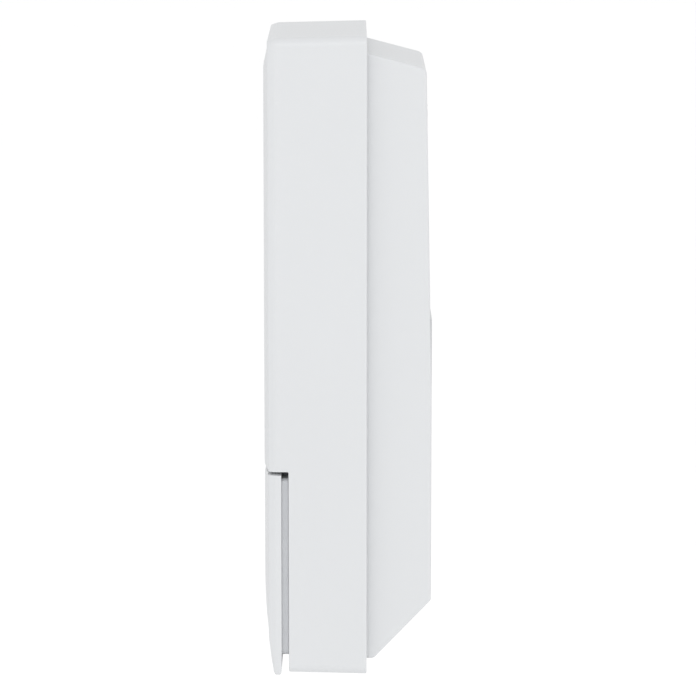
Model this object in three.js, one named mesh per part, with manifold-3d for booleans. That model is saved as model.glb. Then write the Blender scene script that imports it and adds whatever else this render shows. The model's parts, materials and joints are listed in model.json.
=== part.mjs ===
// Video doorbell: a slim two-part housing with a floating bell plate, hung on a wall plate.
// Millimetres. +Z is up, the front faces -Y and the wall is the plane Y = 0.

import * as THREE from 'three';
import { mergeVertices } from 'three/addons/utils/BufferGeometryUtils.js';
import Module from 'manifold-3d';

const wasm = await Module();
wasm.setup();

// ---- Driving dimensions ----

const WIDTH = 46;
const HEIGHT = 138;
const DEPTH = 36;
const WALL = 2;
const HALF_W = WIDTH / 2;
const HALF_H = HEIGHT / 2;
const FRONT_Y = -DEPTH;

const SPLIT_Y = -14; // rear edge of the front housing
const CORNER_R = 2; // corners of the housing, seen from the front
const BEVEL = { depth: 0.9, start: 2, end: 6.1 }; // shallow bevel round the front field
const RIM = { inset: 0.5, run: 1.6 }; // rounding where the sides meet the bevelled front
const DRAFT = 0.5; // the top and bottom close in by this much towards the front rim

const BAY_Z = -24.3; // the bell plate fills the front below this height
const BAY_Y = -30.75; // front face of the housing behind the bell plate
const BAY_LIP_R = 1.4; // rounding of the front above the bell plate

const PLATE = { top: -24.9, rear: -32.3, pocket: -33.5, rim: 0.95, roof: 0.8, halfW: 22.85 };
const GUIDE = { halfW: 21.7, bar: 3, top: -26, bottom: -64.8, front: -32.6, rear: BAY_Y - 0.1 };
const GUIDE_LEGS = { x: 19.7, z: [-31, -54], w: 1.6, h: 4, tip: -26.3 };
const CLIP = { x: 15, z: [-33, -58], w: 2.2, h: 2.8, tip: -27.5, barb: 0.8 };
const PRESS = { z: -47.5, bossR: 3.5, holeR: 4.3, tip: -28.2 };

const WINDOW = { z: 41, w: 25, h: 38, r: 8, ledge: 1.8, clearance: 0.2 };
const LENS = { z: 48, holeR: 7.2 };
const PIR = { z: 29.2, w: 14, h: 7.6, flange: 1.5 };
const MIC = { z: -14, holeR: 0.6 };

const REAR = { halfW: 20.4, top: 65.3, topRear: 62.0, bottom: -65.9 };
const REAR_LEAN = { top: -1.4, bottom: -0.1, kneeZ: -8, chamferZ: -53 }; // upright below the knee
const CHAMFER_Y = -12.45; // where the bottom chamfer meets the flat bottom
const FLANGE = { halfW: 20.7, halfH: 66.7, front: -17.2, rear: -14.2 };
const SEAL = { outW: 20.9, outH: 66.9, thick: 1.3, front: -16.3, rear: -15.1 };
const RECESS = { halfW: 17.2, top: 59.6, bottom: -51.2, floor: -5 };
const REAR_INNER_Y = -7;

const POSTS = [
  [-14.8, 53],
  [14.8, 53],
  [-14.8, -49.5],
  [14.8, -49.5],
];
const POST = { outerR: 3.5, boreR: 2.5, holeR: 1.5, seat: -13 };
const BOSS = { outerR: 2.5, boreR: 1.45, rear: -17.5 };

const BOARD = { halfW: 20.4, top: 34, bottom: -57, front: -25, rear: -23.4 };
const BOARD_SCREWS = [
  [-17.5, 30],
  [17.5, -19],
];
const BOARD_BOSS = { outerR: 2.2, boreR: 1.15, pegR: 0.9 };
const RING_LED = { x: 19.5, w: 1.6, h: 2.8, thick: 0.8 };
const SHIELD = { z: 4.5, halfW: 12, halfH: 11.5, height: 2, wall: 0.3 };

const PIVOT = { y: -3, z: 57, r: 1.5, halfL: 11 };
const HOOKS = { x: 6, w: 5.6 };
const LUG = { halfW: 5, top: -47.2, bottom: -49, front: -10, notchR: 1.7 };
const SECURITY = { y: -7, shankR: 1.4, headR: 2.7, seatZ: -56.5 };

const WALL_PLATE = { halfW: 16.4, top: 53, bottom: -48, thick: 2, rim: 1.6, rimY: -3.6 };
const STAND_OFF = { z: 8, depth: 1.1 }; // above z the plate leaves room for the bell wires
const CABLE = { z: 29, w: 16, h: 30, r: 3 };

const POWER = { halfW: 10.8, top: 55, bottom: 25.5, front: -10.4, rear: -9.2 };
const TERMINAL = { z: 39.2, halfW: 9, halfH: 4, screwX: 4.5 };
const USB = { x: 4.6, z: 30, w: 9, h: 3.2 };
const RESET = { x: -6.5, z: 30, r: 1.8 };
const TAMPER = { z: 47.6, r: 1.1 };

// The bell switch, the camera, the speaker and the battery
const SWITCH = { half: 3, front: -27, rear: BOARD.front - 0.1, stemR: 1.7, stemTip: -27.75 };
const CAMERA = { half: 9.6, earX: 12.1, front: -28, earRear: -25.6, rear: -22.2, bossR: 1.3, pegR: 0.7 };
const SENSOR_BOARD = { half: 9, front: -22, rear: -20.8 };
const IR = { halfW: 10.2, halfH: 10.6, front: -31.6, rear: -30.6, ledOffset: 7.2 };
const SPEAKER = { y: -23, halfW: 12.5, halfD: 4.8, top: -61, bottom: -66.3 };
const BATTERY = { halfW: 16.4, top: 21.5, bottom: -41.5, y: -14.8, halfD: 6.4 };
const LEAD = { x: 10.2, pitch: 1.9, r: 0.6 };
const CONNECTOR = { x: 11.15, halfW: 2.6, top: 31.2, bottom: 27.2, front: BOARD.rear + 0.1 };
const LIGHT_SENSOR_Z = 36.9;

// Solid stock and pockets at the back of the rear housing
const HOOK_STOCK = { halfW: 12, front: -8.1, bottom: 51, top: 61.4 };
const HOOK_POCKET = { halfW: 10, front: -6.5, bottom: 52 };
const CHEEK = { rear: -1.9, bottom: 54.8, lap: 0.4 }; // carries the end of the pivot bar
const LUG_STOCK = { halfW: 7.5, front: -12.8, bottom: -57.6, top: -44 };
const LUG_POCKET = { halfW: 6, front: -11, top: -45.6 };
const SCREW_STOCK = { rear: -3, bottom: -62.5 }; // carries the security screw
const PORT_CUT = { front: -8, rear: -4 };

const WALL_SCREW = { shankR: 1.8, headR: 3.6, headY: -1.2 };
const WALL_SLOTS = [
  { x: 11.2, z: -36, runX: 0, runZ: 2.6 },
  { x: 9.2, z: 2, runX: 2.2, runZ: 0 },
];

// ---- Finishes ----

const FINISHES = {
  white_plastic: { color: 0xf1f2f3, roughness: 0.42, metalness: 0 },
  plate_plastic: { color: 0xe9eaec, roughness: 0.5, metalness: 0 },
  black_gloss: { color: 0x0b0c0e, roughness: 0.08, metalness: 0 },
  black_plastic: { color: 0x1a1b1d, roughness: 0.6, metalness: 0 },
  lens_glass: { color: 0x1b2433, roughness: 0.03, metalness: 0 },
  pir_plastic: { color: 0xdfe2e2, roughness: 0.35, metalness: 0 },
  light_plastic: { color: 0xc3c5c7, roughness: 0.4, metalness: 0 },
  silicone: { color: 0x3a3c3f, roughness: 0.75, metalness: 0 },
  foam: { color: 0x232425, roughness: 0.95, metalness: 0 },
  board: { color: 0x14532d, roughness: 0.45, metalness: 0.1 },
  flex: { color: 0xa8641f, roughness: 0.4, metalness: 0.1 },
  chip: { color: 0x202124, roughness: 0.5, metalness: 0 },
  steel: { color: 0xb9bcc0, roughness: 0.3, metalness: 1 },
  tin: { color: 0xc9cccf, roughness: 0.35, metalness: 1 },
  led: { color: 0xe6ecef, roughness: 0.2, metalness: 0 },
  battery_wrap: { color: 0x27568f, roughness: 0.4, metalness: 0 },
  terminal: { color: 0x2d6a4a, roughness: 0.5, metalness: 0 },
  wire_red: { color: 0xb3261e, roughness: 0.5, metalness: 0 },
  wire_black: { color: 0x17181a, roughness: 0.5, metalness: 0 },
};

// ---- Solids ----

// A closed three.js geometry as a solid that can be joined and cut.
function toSolid(geometry) {
  const source = geometry.index ? geometry.toNonIndexed() : geometry.clone();
  source.deleteAttribute('normal');
  source.deleteAttribute('uv');
  const merged = mergeVertices(source, 1e-4);
  return new wasm.Manifold(
    new wasm.Mesh({
      numProp: 3,
      vertProperties: merged.attributes.position.array,
      triVerts: new Uint32Array(merged.index.array),
    }),
  );
}

function toGeometry(solid) {
  const mesh = solid.getMesh();
  const positions = new Float32Array(mesh.numVert * 3);
  for (let i = 0; i < mesh.numVert; i += 1) {
    for (let k = 0; k < 3; k += 1) {
      positions[i * 3 + k] = mesh.vertProperties[i * mesh.numProp + k];
    }
  }
  const geometry = new THREE.BufferGeometry();
  geometry.setAttribute('position', new THREE.BufferAttribute(positions, 3));
  geometry.setIndex(new THREE.BufferAttribute(new Uint32Array(mesh.triVerts), 1));
  geometry.computeVertexNormals();
  return geometry;
}

const join = (...solids) => solids.reduce((sum, solid) => sum.add(solid));
const cut = (solid, ...tools) => tools.reduce((rest, tool) => rest.subtract(tool), solid);

const UNIT_X = new THREE.Vector3(1, 0, 0);
const UNIT_Y = new THREE.Vector3(0, 1, 0);
const UNIT_Z = new THREE.Vector3(0, 0, 1);

// An outline drawn in (Y, Z), (X, Z) or (X, Y) becomes a prism along X, Y or Z.
const PRISM_FRAMES = {
  x: new THREE.Matrix4().makeBasis(UNIT_Y, UNIT_Z, UNIT_X),
  y: new THREE.Matrix4().makeBasis(UNIT_X, UNIT_Z, UNIT_Y.clone().negate()),
  z: new THREE.Matrix4(),
};

function prism(outline, axis, from, to, curveSegments = 3) {
  const geometry = new THREE.ExtrudeGeometry(outline, {
    depth: to - from,
    bevelEnabled: false,
    curveSegments,
  });
  geometry.translate(0, 0, axis === 'y' ? -to : from);
  geometry.applyMatrix4(PRISM_FRAMES[axis]);
  return toSolid(geometry);
}

// The box between two corners.
function box(x0, x1, y0, y1, z0, z1) {
  const geometry = new THREE.BoxGeometry(x1 - x0, y1 - y0, z1 - z0);
  geometry.translate((x0 + x1) / 2, (y0 + y1) / 2, (z0 + z1) / 2);
  return toSolid(geometry);
}

function polygon(points) {
  return new THREE.Shape(points.map(([a, b]) => new THREE.Vector2(a, b)));
}

function roundedRect(halfW, halfH, r, cx = 0, cy = 0) {
  const shape = new THREE.Shape();
  shape.moveTo(cx + halfW, cy - halfH + r);
  shape.lineTo(cx + halfW, cy + halfH - r);
  shape.absarc(cx + halfW - r, cy + halfH - r, r, 0, Math.PI / 2);
  shape.absarc(cx - halfW + r, cy + halfH - r, r, Math.PI / 2, Math.PI);
  shape.absarc(cx - halfW + r, cy - halfH + r, r, Math.PI, Math.PI * 1.5);
  shape.absarc(cx + halfW - r, cy - halfH + r, r, Math.PI * 1.5, Math.PI * 2);
  return shape;
}

function circle(r, cx = 0, cy = 0) {
  const shape = new THREE.Shape();
  shape.absarc(cx, cy, r, 0, Math.PI * 2);
  return shape;
}

// A round rod along Y at (x, z).
const rodY = (r, from, to, x, z, segments = 12) => prism(circle(r, x, z), 'y', from, to, segments);
const rodZ = (r, from, to, x, y, segments = 12) => prism(circle(r, x, y), 'z', from, to, segments);

// A turned solid round the Y axis through (0, z); the profile is a list of [radius, y].
function turned(profile, z = 0, segments = 28) {
  const points = profile.map(([r, y]) => new THREE.Vector2(r, y));
  const geometry = new THREE.LatheGeometry(points, segments);
  geometry.translate(0, 0, z);
  return toSolid(geometry);
}

// One closed skin through rounded rectangles, each { y, halfW, halfH, r, z }, from front to back.
const RING_STEPS = 5;

function ringPoints({ y, halfW, halfH, r, z = 0 }) {
  const corners = [
    [halfW - r, halfH - r, 0],
    [r - halfW, halfH - r, 1],
    [r - halfW, r - halfH, 2],
    [halfW - r, r - halfH, 3],
  ];
  return corners.flatMap(([cx, cz, quarter]) =>
    Array.from({ length: RING_STEPS + 1 }, (_, i) => {
      const angle = ((quarter + i / RING_STEPS) * Math.PI) / 2;
      return [cx + r * Math.cos(angle), y, z + cz + r * Math.sin(angle)];
    }),
  );
}

function loft(sections) {
  const rings = sections.map(ringPoints);
  const count = rings[0].length;
  const positions = rings.flat();
  const index = [];
  for (let s = 0; s < rings.length - 1; s += 1) {
    for (let i = 0; i < count; i += 1) {
      const next = (i + 1) % count;
      const a = s * count;
      const b = a + count;
      index.push(a + i, b + i, b + next, a + i, b + next, a + next);
    }
  }
  const capCentre = (section) => [0, section.y, section.z ?? 0];
  const frontCentre = positions.push(capCentre(sections[0])) - 1;
  const rearCentre = positions.push(capCentre(sections.at(-1))) - 1;
  const lastRing = (rings.length - 1) * count;
  for (let i = 0; i < count; i += 1) {
    const next = (i + 1) % count;
    index.push(frontCentre, i, next);
    index.push(rearCentre, lastRing + next, lastRing + i);
  }
  const geometry = new THREE.BufferGeometry();
  geometry.setAttribute('position', new THREE.Float32BufferAttribute(positions.flat(), 3));
  geometry.setIndex(index);
  return toSolid(geometry);
}

// A thin strip, centred on x, that follows a smooth path of [y, z] points.
function strip(path, x, width, thickness) {
  const curve = new THREE.SplineCurve(path.map(([y, z]) => new THREE.Vector2(y, z)));
  const steps = 16;
  const side = (sign) =>
    Array.from({ length: steps + 1 }, (_, i) => {
      const tangent = curve.getTangent(i / steps);
      const offset = (sign * thickness) / 2;
      const point = curve.getPoint(i / steps);
      return new THREE.Vector2(point.x - tangent.y * offset, point.y + tangent.x * offset);
    });
  const outline = new THREE.Shape([...side(1), ...side(-1).reverse()]);
  return prism(outline, 'x', x - width / 2, x + width / 2);
}

// A round wire along a smooth path of [x, y, z] points.
function wire(path, r) {
  const curve = new THREE.CatmullRomCurve3(path.map((p) => new THREE.Vector3(...p)));
  const geometry = new THREE.ExtrudeGeometry(circle(r), {
    steps: 14,
    curveSegments: 4,
    extrudePath: curve,
  });
  return toSolid(geometry);
}

// A screw whose head's underside is at the origin, its shank along -Y; a six-sided socket drives it.
function screw({ headR, headH, shankR, length, socketR }) {
  const tip = shankR * 0.8;
  const body = turned(
    [
      [0, -length],
      [shankR - tip * 0.5, -length],
      [shankR, -length + tip],
      [shankR, 0],
      [headR, 0],
      [headR, headH * 0.6],
      [headR * 0.8, headH],
      [0, headH],
    ],
    0,
    14,
  );
  const socket = prism(circle(socketR), 'y', headH * 0.35, headH + 1, 3);
  return cut(body, socket);
}

// ---- Scene graph ----

const doorbell = new THREE.Group();
const unit = new THREE.Group();
doorbell.add(unit);

function addPart(parent, name, solid, finish) {
  const material = new THREE.MeshStandardMaterial(FINISHES[finish]);
  material.name = finish;
  const mesh = new THREE.Mesh(toGeometry(solid), material);
  mesh.name = name;
  parent.add(mesh);
  return mesh;
}

// ---- Front housing ----

function housingSection(y, inset, r) {
  const drop = (DRAFT * (SPLIT_Y - y)) / (SPLIT_Y - FRONT_Y - BEVEL.depth);
  return { y, halfW: HALF_W - inset, halfH: HALF_H - inset - drop, r };
}

function frontShape() {
  const rimY = FRONT_Y + BEVEL.depth;
  return loft([
    housingSection(FRONT_Y, BEVEL.end, 1.2),
    housingSection(rimY, BEVEL.start, 0.8),
    housingSection(rimY, RIM.inset, CORNER_R - RIM.inset),
    housingSection(rimY + RIM.run * 0.3, RIM.inset * 0.3, CORNER_R - RIM.inset * 0.3),
    housingSection(rimY + RIM.run, 0, CORNER_R),
    housingSection(SPLIT_Y, 0, CORNER_R),
  ]);
}

// The room that the bell plate takes, with the rounded lip above it.
function bayCut() {
  const outline = new THREE.Shape();
  const outside = FRONT_Y - 5;
  outline.moveTo(outside, -HALF_H - 5);
  outline.lineTo(BAY_Y, -HALF_H - 5);
  outline.lineTo(BAY_Y, BAY_Z);
  outline.lineTo(FRONT_Y + BAY_LIP_R, BAY_Z);
  outline.absarc(FRONT_Y + BAY_LIP_R, BAY_Z + BAY_LIP_R, BAY_LIP_R, -Math.PI / 2, -Math.PI, true);
  outline.lineTo(outside, BAY_Z + BAY_LIP_R);
  return prism(outline, 'x', -HALF_W - 5, HALF_W + 5, 4);
}

function windowOutline(inset) {
  const { z, w, h, r } = WINDOW;
  return roundedRect(w / 2 - inset, h / 2 - inset, r - inset, 0, z);
}

function frontHousing() {
  const innerW = HALF_W - WALL;
  const innerH = HALF_H - WALL;
  const innerFront = FRONT_Y + WALL;
  const bayInner = BAY_Y + WALL;
  const bayRoof = BAY_Z + WALL;
  const upperRoom = box(-innerW, innerW, innerFront, SPLIT_Y + 1, bayRoof, innerH);
  const lowerRoom = box(-innerW, innerW, bayInner, SPLIT_Y + 1, -innerH, bayRoof + 0.5);
  const shell = cut(frontShape(), bayCut(), upperRoom, lowerRoom);

  const pocketFloor = FRONT_Y + 1.6;
  const ledgeRear = -32.6;
  const windowFrame = prism(windowOutline(-1), 'y', pocketFloor, ledgeRear);
  const pieces = [windowFrame];
  const cuts = [
    prism(windowOutline(0), 'y', FRONT_Y - 1, pocketFloor),
    prism(windowOutline(WINDOW.ledge), 'y', FRONT_Y - 1, ledgeRear + 1),
    rodY(MIC.holeR, FRONT_Y - 1, innerFront + 1, 0, MIC.z, 5),
  ];
  for (const [x, z] of POSTS) {
    const front = z > BAY_Z ? innerFront - 0.2 : bayInner - 0.2;
    pieces.push(rodY(BOSS.outerR, front, BOSS.rear, x, z, 7));
    cuts.push(rodY(BOSS.boreR, BOSS.rear - 9, BOSS.rear + 1, x, z, 6));
  }
  for (const [x, z] of BOARD_SCREWS) {
    for (const side of [-x, x]) {
      pieces.push(rodY(BOARD_BOSS.outerR, innerFront - 0.2, BOARD.front - 0.3, side, z, 6));
    }
    cuts.push(rodY(BOARD_BOSS.boreR, BOARD.front - 6.5, BOARD.front, x, z, 5));
    pieces.push(rodY(BOARD_BOSS.pegR, BOARD.front - 0.5, BOARD.rear, -x, z, 6));
  }
  for (const side of [-1, 1]) {
    const x = side * CAMERA.earX;
    pieces.push(rodY(CAMERA.bossR, ledgeRear - 0.2, CAMERA.front - 0.3, x, LENS.z, 8));
    pieces.push(rodY(CAMERA.pegR, CAMERA.front - 0.5, CAMERA.earRear + 0.4, x, LENS.z, 6));
    for (const z of GUIDE_LEGS.z) {
      const holeX = side * GUIDE_LEGS.x;
      cuts.push(slotY(holeX, z, GUIDE_LEGS.w + 0.5, GUIDE_LEGS.h + 0.5, BAY_Y - 1, bayInner + 1));
    }
    for (const z of CLIP.z) {
      cuts.push(slotY(side * CLIP.x, z, CLIP.w + 0.6, CLIP.h + 0.6, BAY_Y - 1, bayInner + 1));
    }
  }
  cuts.push(rodY(PRESS.holeR, BAY_Y - 1, bayInner + 1, 0, PRESS.z, 12));
  for (let i = -3; i <= 3; i += 1) {
    const slot = roundedRect(0.7, 3.4, 0.65, i * 3, SPEAKER.y);
    cuts.push(prism(slot, 'z', -HALF_H - 1, -innerH + 1, 2));
  }
  return cut(join(shell, ...pieces), ...cuts);
}

// A rectangular hole or leg along Y, centred on (x, z).
function slotY(x, z, w, h, from, to) {
  return box(x - w / 2, x + w / 2, from, to, z - h / 2, z + h / 2);
}

// ---- Bell plate and its mechanism ----

function bellPlate() {
  const side = new THREE.Shape();
  const { top, rear, halfW, rim, roof, pocket } = PLATE;
  const topR = 0.9;
  const taperZ = -46;
  side.moveTo(rear, top);
  side.lineTo(FRONT_Y + topR, top);
  side.absarc(FRONT_Y + topR, top - topR, topR, Math.PI / 2, Math.PI);
  side.lineTo(FRONT_Y, taperZ);
  side.bezierCurveTo(FRONT_Y + 0.1, taperZ - 8, FRONT_Y + 1.2, -60, FRONT_Y + 1.9, -67.6);
  side.quadraticCurveTo(FRONT_Y + 2.1, -HALF_H, rear - 0.7, -HALF_H);
  side.quadraticCurveTo(rear, -HALF_H, rear, -HALF_H + 0.7);
  const flatHalf = halfW - BEVEL.end;
  const bevelHalf = halfW - BEVEL.start;
  const rimY = FRONT_Y + BEVEL.depth;
  const half = [
    [halfW, rear],
    [halfW, rimY + RIM.run],
    [halfW - RIM.inset * 0.3, rimY + RIM.run * 0.3],
    [halfW - RIM.inset, rimY],
    [bevelHalf, rimY],
    [flatHalf, FRONT_Y],
  ];
  const mirrored = half.map(([x, y]) => [-x, y]).reverse();
  const acrossView = polygon([...half, ...mirrored]);
  const plate = prism(side, 'x', -halfW, halfW, 5).intersect(
    prism(acrossView, 'z', -HALF_H - 1, top + 1),
  );
  const room = box(
    rim - halfW, halfW - rim,
    pocket, rear + 1,
    GUIDE.bottom - 0.6, top - roof,
  );
  const boss = rodY(PRESS.bossR, pocket - 0.3, PRESS.tip, 0, PRESS.z, 12);
  const clips = [-1, 1].flatMap((sx) => CLIP.z.map((z) => bellClip(sx * CLIP.x, z)));
  return join(cut(plate, room), boss, ...clips);
}

// A leg that passes through the housing and hooks behind it with a barb.
function bellClip(x, z) {
  const outward = z > PRESS.z ? 1 : -1;
  const leg = slotY(x, z, CLIP.w, CLIP.h, PLATE.pocket - 0.3, CLIP.tip);
  const barbZ = z + (outward * CLIP.barb) / 2;
  const barb = slotY(x, barbZ, CLIP.w, CLIP.h + CLIP.barb, CLIP.tip - 0.8, CLIP.tip);
  return join(leg, barb);
}

function lightGuide() {
  const { halfW, bar, top, bottom, front, rear } = GUIDE;
  const midZ = (top + bottom) / 2;
  const halfH = (top - bottom) / 2;
  const frame = cut(
    prism(roundedRect(halfW, halfH, 1, 0, midZ), 'y', front, rear, 2),
    prism(roundedRect(halfW - bar, halfH - 2, 0.6, 0, midZ), 'y', front - 1, rear + 1, 2),
  );
  const legs = [-1, 1].flatMap((side) =>
    GUIDE_LEGS.z.map((z) =>
      slotY(side * GUIDE_LEGS.x, z, GUIDE_LEGS.w, GUIDE_LEGS.h, rear - 0.3, GUIDE_LEGS.tip),
    ),
  );
  return join(frame, ...legs);
}

function buttonSeal() {
  const ring = rodY(5.6, GUIDE.front + 1.1, GUIDE.rear, 0, PRESS.z);
  return cut(ring, rodY(PRESS.bossR + 0.25, GUIDE.front, GUIDE.rear + 1, 0, PRESS.z));
}

function tactSwitch() {
  const { half, front, rear, stemR } = SWITCH;
  const body = prism(roundedRect(half, half, 0.5, 0, PRESS.z), 'y', front, rear, 1);
  const bore = rodY(stemR + 0.2, front - 1, rear + 1, 0, PRESS.z, 8);
  const feet = [-1, 1].flatMap((sx) =>
    [-2.2, 2.2].map((dz) => slotY(sx * (half + 0.5), PRESS.z + dz, 1.4, 0.8, rear - 0.4, rear)),
  );
  return join(cut(body, bore), ...feet);
}

function switchStem() {
  const { stemR, stemTip } = SWITCH;
  return turned(
    [
      [0, stemTip],
      [stemR - 0.3, stemTip],
      [stemR, stemTip + 0.3],
      [stemR, BOARD.front - 0.6],
      [0, BOARD.front - 0.6],
    ],
    PRESS.z,
    16,
  );
}

// ---- Camera ----

function cameraWindow() {
  const gap = WINDOW.clearance;
  const front = FRONT_Y + 0.05;
  const rear = FRONT_Y + 1.1;
  const panel = loft([
    windowSection(front, gap + 0.25),
    windowSection(front + 0.25, gap),
    windowSection(rear, gap),
  ]);
  const pirHole = roundedRect(PIR.w / 2 + 0.2, PIR.h / 2 + 0.2, 2.2, 0, PIR.z);
  const lensHole = rodY(LENS.holeR, front - 1, rear + 1, 0, LENS.z, 18);
  const sensorHole = rodY(0.5, front - 1, rear + 1, 0, LIGHT_SENSOR_Z, 5);
  return cut(panel, lensHole, sensorHole, prism(pirHole, 'y', front - 1, rear + 1, 2));
}

function windowSection(y, inset) {
  const { w, h, r, z } = WINDOW;
  return { y, halfW: w / 2 - inset, halfH: h / 2 - inset, r: r - inset, z };
}

function windowGasket() {
  const front = FRONT_Y + 1.2;
  const rear = FRONT_Y + 1.5;
  return cut(
    prism(windowOutline(0.4), 'y', front, rear),
    prism(windowOutline(WINDOW.ledge - 0.2), 'y', front - 1, rear + 1),
  );
}

function lensBarrel() {
  return turned(
    [
      [5.6, -35.7],
      [6.5, -35.7],
      [6.8, -35.4],
      [6.8, -33.6],
      [6, -33.2],
      [6, -23.4],
      [3.2, -23.4],
      [3.2, -26.5],
      [4.4, -31.8],
      [5.6, -33.6],
      [5.6, -35.7],
    ],
    LENS.z,
  );
}

function lensGlass() {
  return turned(
    [
      [0, -35.75],
      [2.2, -35.6],
      [4, -35.2],
      [5.4, -34.6],
      [5.4, -33.4],
      [4.7, -32.6],
      [0, -32.6],
    ],
    LENS.z,
  );
}

function cameraBracket() {
  const { half, earX, front, earRear, rear, pegR } = CAMERA;
  const holder = prism(roundedRect(half, half, 1.5, 0, LENS.z), 'y', front, rear, 2);
  const ears = [-1, 1].map((side) => slotY(side * (earX - 0.7), LENS.z, 4, 4, front, earRear));
  const postXZ = [-1, 1].flatMap((sx) => [-1, 1].map((sz) => [sx * 8.2, LENS.z + sz * 8.4]));
  const posts = postXZ.map(([x, z]) => rodY(1.1, IR.rear + 0.1, front + 0.5, x, z, 6));
  const cuts = [
    rodY(6.3, front - 1, rear - 2, 0, LENS.z, 16),
    slotY(0, LENS.z, 14, 14, rear - 2.5, rear + 1),
    ...[-1, 1].map((side) => rodY(pegR + 0.25, front - 1, earRear + 1, side * earX, LENS.z, 6)),
  ];
  return cut(join(holder, ...ears, ...posts), ...cuts);
}

function sensorBoard() {
  const { half, front, rear } = SENSOR_BOARD;
  return prism(roundedRect(half, half, 1, 0, LENS.z), 'y', front, rear, 1);
}

function imageSensor() {
  return slotY(0, LENS.z, 8, 7, SENSOR_BOARD.front - 1.1, SENSOR_BOARD.front - 0.1);
}

function irBoard() {
  const outline = roundedRect(IR.halfW, IR.halfH + 0.6, 1.5, 0, LENS.z - 0.6);
  return cut(
    prism(outline, 'y', IR.front, IR.rear, 1),
    rodY(7.1, IR.front - 1, IR.rear + 1, 0, LENS.z, 16),
  );
}

// A domed infrared LED facing forward.
function irLed(x, z) {
  const base = IR.front - 0.1;
  const profile = [
    [0, base - 2.3],
    [0.6, base - 2.2],
    [1.1, base - 1.8],
    [1.35, base - 1.2],
    [1.35, base - 0.5],
    [1.6, base - 0.5],
    [1.6, base],
    [0, base],
  ];
  return turned(profile, 0, 14).translate([x, 0, z]);
}

function irBaffle() {
  return cut(
    rodY(8.3, -34.7, IR.front - 0.2, 0, LENS.z, 16),
    rodY(7.15, -36, IR.front + 1, 0, LENS.z, 16),
  );
}

function pirLens() {
  const { z, w, h, flange } = PIR;
  const panelRear = FRONT_Y + 1.1;
  const plug = loft([
    { y: FRONT_Y + 0.05, halfW: w / 2 - 1.4, halfH: h / 2 - 1.4, r: 0.8, z },
    { y: FRONT_Y + 0.3, halfW: w / 2 - 0.3, halfH: h / 2 - 0.3, r: 1.8, z },
    { y: FRONT_Y + 0.7, halfW: w / 2, halfH: h / 2, r: 2, z },
    { y: panelRear + 0.3, halfW: w / 2, halfH: h / 2, r: 2, z },
  ]);
  const flangeOutline = roundedRect(w / 2 + flange, h / 2 + flange * 0.6, 1.5, 0, z);
  return join(plug, prism(flangeOutline, 'y', panelRear + 0.1, panelRear + 0.7, 2));
}

function pirSensor() {
  const base = BOARD.front - 0.1;
  return turned(
    [
      [0, base - 4.2],
      [3.9, base - 4.2],
      [4.1, base - 4],
      [4.1, base - 0.6],
      [4.6, base - 0.6],
      [4.6, base],
      [0, base],
    ],
    PIR.z,
    24,
  );
}

function lightSensor() {
  return slotY(0, LIGHT_SENSOR_Z, 2, 1.2, IR.front - 0.8, IR.front - 0.1);
}

// ---- Main board ----

function mainBoard() {
  const { halfW, top, bottom, front, rear } = BOARD;
  const outline = roundedRect(halfW, (top - bottom) / 2, 1.5, 0, (top + bottom) / 2);
  const holes = POSTS.filter(([, z]) => z < BAY_Z).map(([x, z]) =>
    rodY(BOSS.outerR + 0.4, front - 1, rear + 1, x, z, 10),
  );
  for (const [x, z] of BOARD_SCREWS) {
    holes.push(rodY(1.3, front - 1, rear + 1, x, z, 8));
    holes.push(rodY(1.2, front - 1, rear + 1, -x, z, 8));
  }
  return cut(prism(outline, 'y', front, rear, 2), ...holes);
}

// A folded tin lid with a shallow rim step.
function shieldCan() {
  const { z, halfW, halfH, height, wall } = SHIELD;
  const rear = BOARD.front - 0.1;
  const front = rear - height;
  const outer = prism(roundedRect(halfW, halfH, 1, 0, z), 'y', front, rear, 2);
  const room = prism(roundedRect(halfW - wall, halfH - wall, 0.8, 0, z), 'y', front + wall, rear + 1, 2);
  const vent = Array.from({ length: 5 }, (_, i) => rodY(0.6, front - 1, front + 1, (i - 2) * 3, z, 4));
  return cut(outer, room, ...vent);
}

function antenna() {
  const x = HALF_W - WALL - 0.5;
  const outline = roundedRect(3, 17, 0.8, -29.8, 8);
  return prism(outline, 'x', x, x + 0.3, 2);
}

function microphone() {
  return slotY(0, MIC.z, 3.2, 2.6, BOARD.front - 1.1, BOARD.front - 0.1);
}

function micBoot() {
  const front = FRONT_Y + WALL + 0.1;
  return turned(
    [
      [0.9, front],
      [3, front],
      [2.6, front + 0.8],
      [2.6, BOARD.front - 1.4],
      [0.9, BOARD.front - 1.4],
      [0.9, front],
    ],
    MIC.z,
    20,
  );
}

// ---- Speaker ----

function speaker() {
  const { y, halfW, halfD, top, bottom } = SPEAKER;
  const body = prism(roundedRect(halfW, halfD, 1.5, 0, y), 'z', bottom, top, 2);
  const cone = prism(roundedRect(halfW - 1.2, halfD - 1.2, 2, 0, y), 'z', bottom - 1, bottom + 0.5, 2);
  const magnet = prism(roundedRect(halfW - 4, halfD - 1.6, 1, 0, y), 'z', top - 0.1, top + 0.9, 2);
  return join(cut(body, cone), magnet);
}

function speakerGasket() {
  const { y, halfW, halfD } = SPEAKER;
  const top = SPEAKER.bottom - 0.05;
  const bottom = -HALF_H + WALL + 0.3;
  return cut(
    prism(roundedRect(halfW, halfD, 1.5, 0, y), 'z', bottom, top, 2),
    prism(roundedRect(halfW - 1.4, halfD - 1, 1.2, 0, y), 'z', bottom - 1, top + 1, 2),
  );
}

function speakerMesh() {
  const { y, halfW, halfD } = SPEAKER;
  const bottom = -HALF_H + WALL;
  return prism(roundedRect(halfW, halfD, 1.5, 0, y), 'z', bottom + 0.06, bottom + 0.22, 2);
}

// ---- Battery ----

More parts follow.
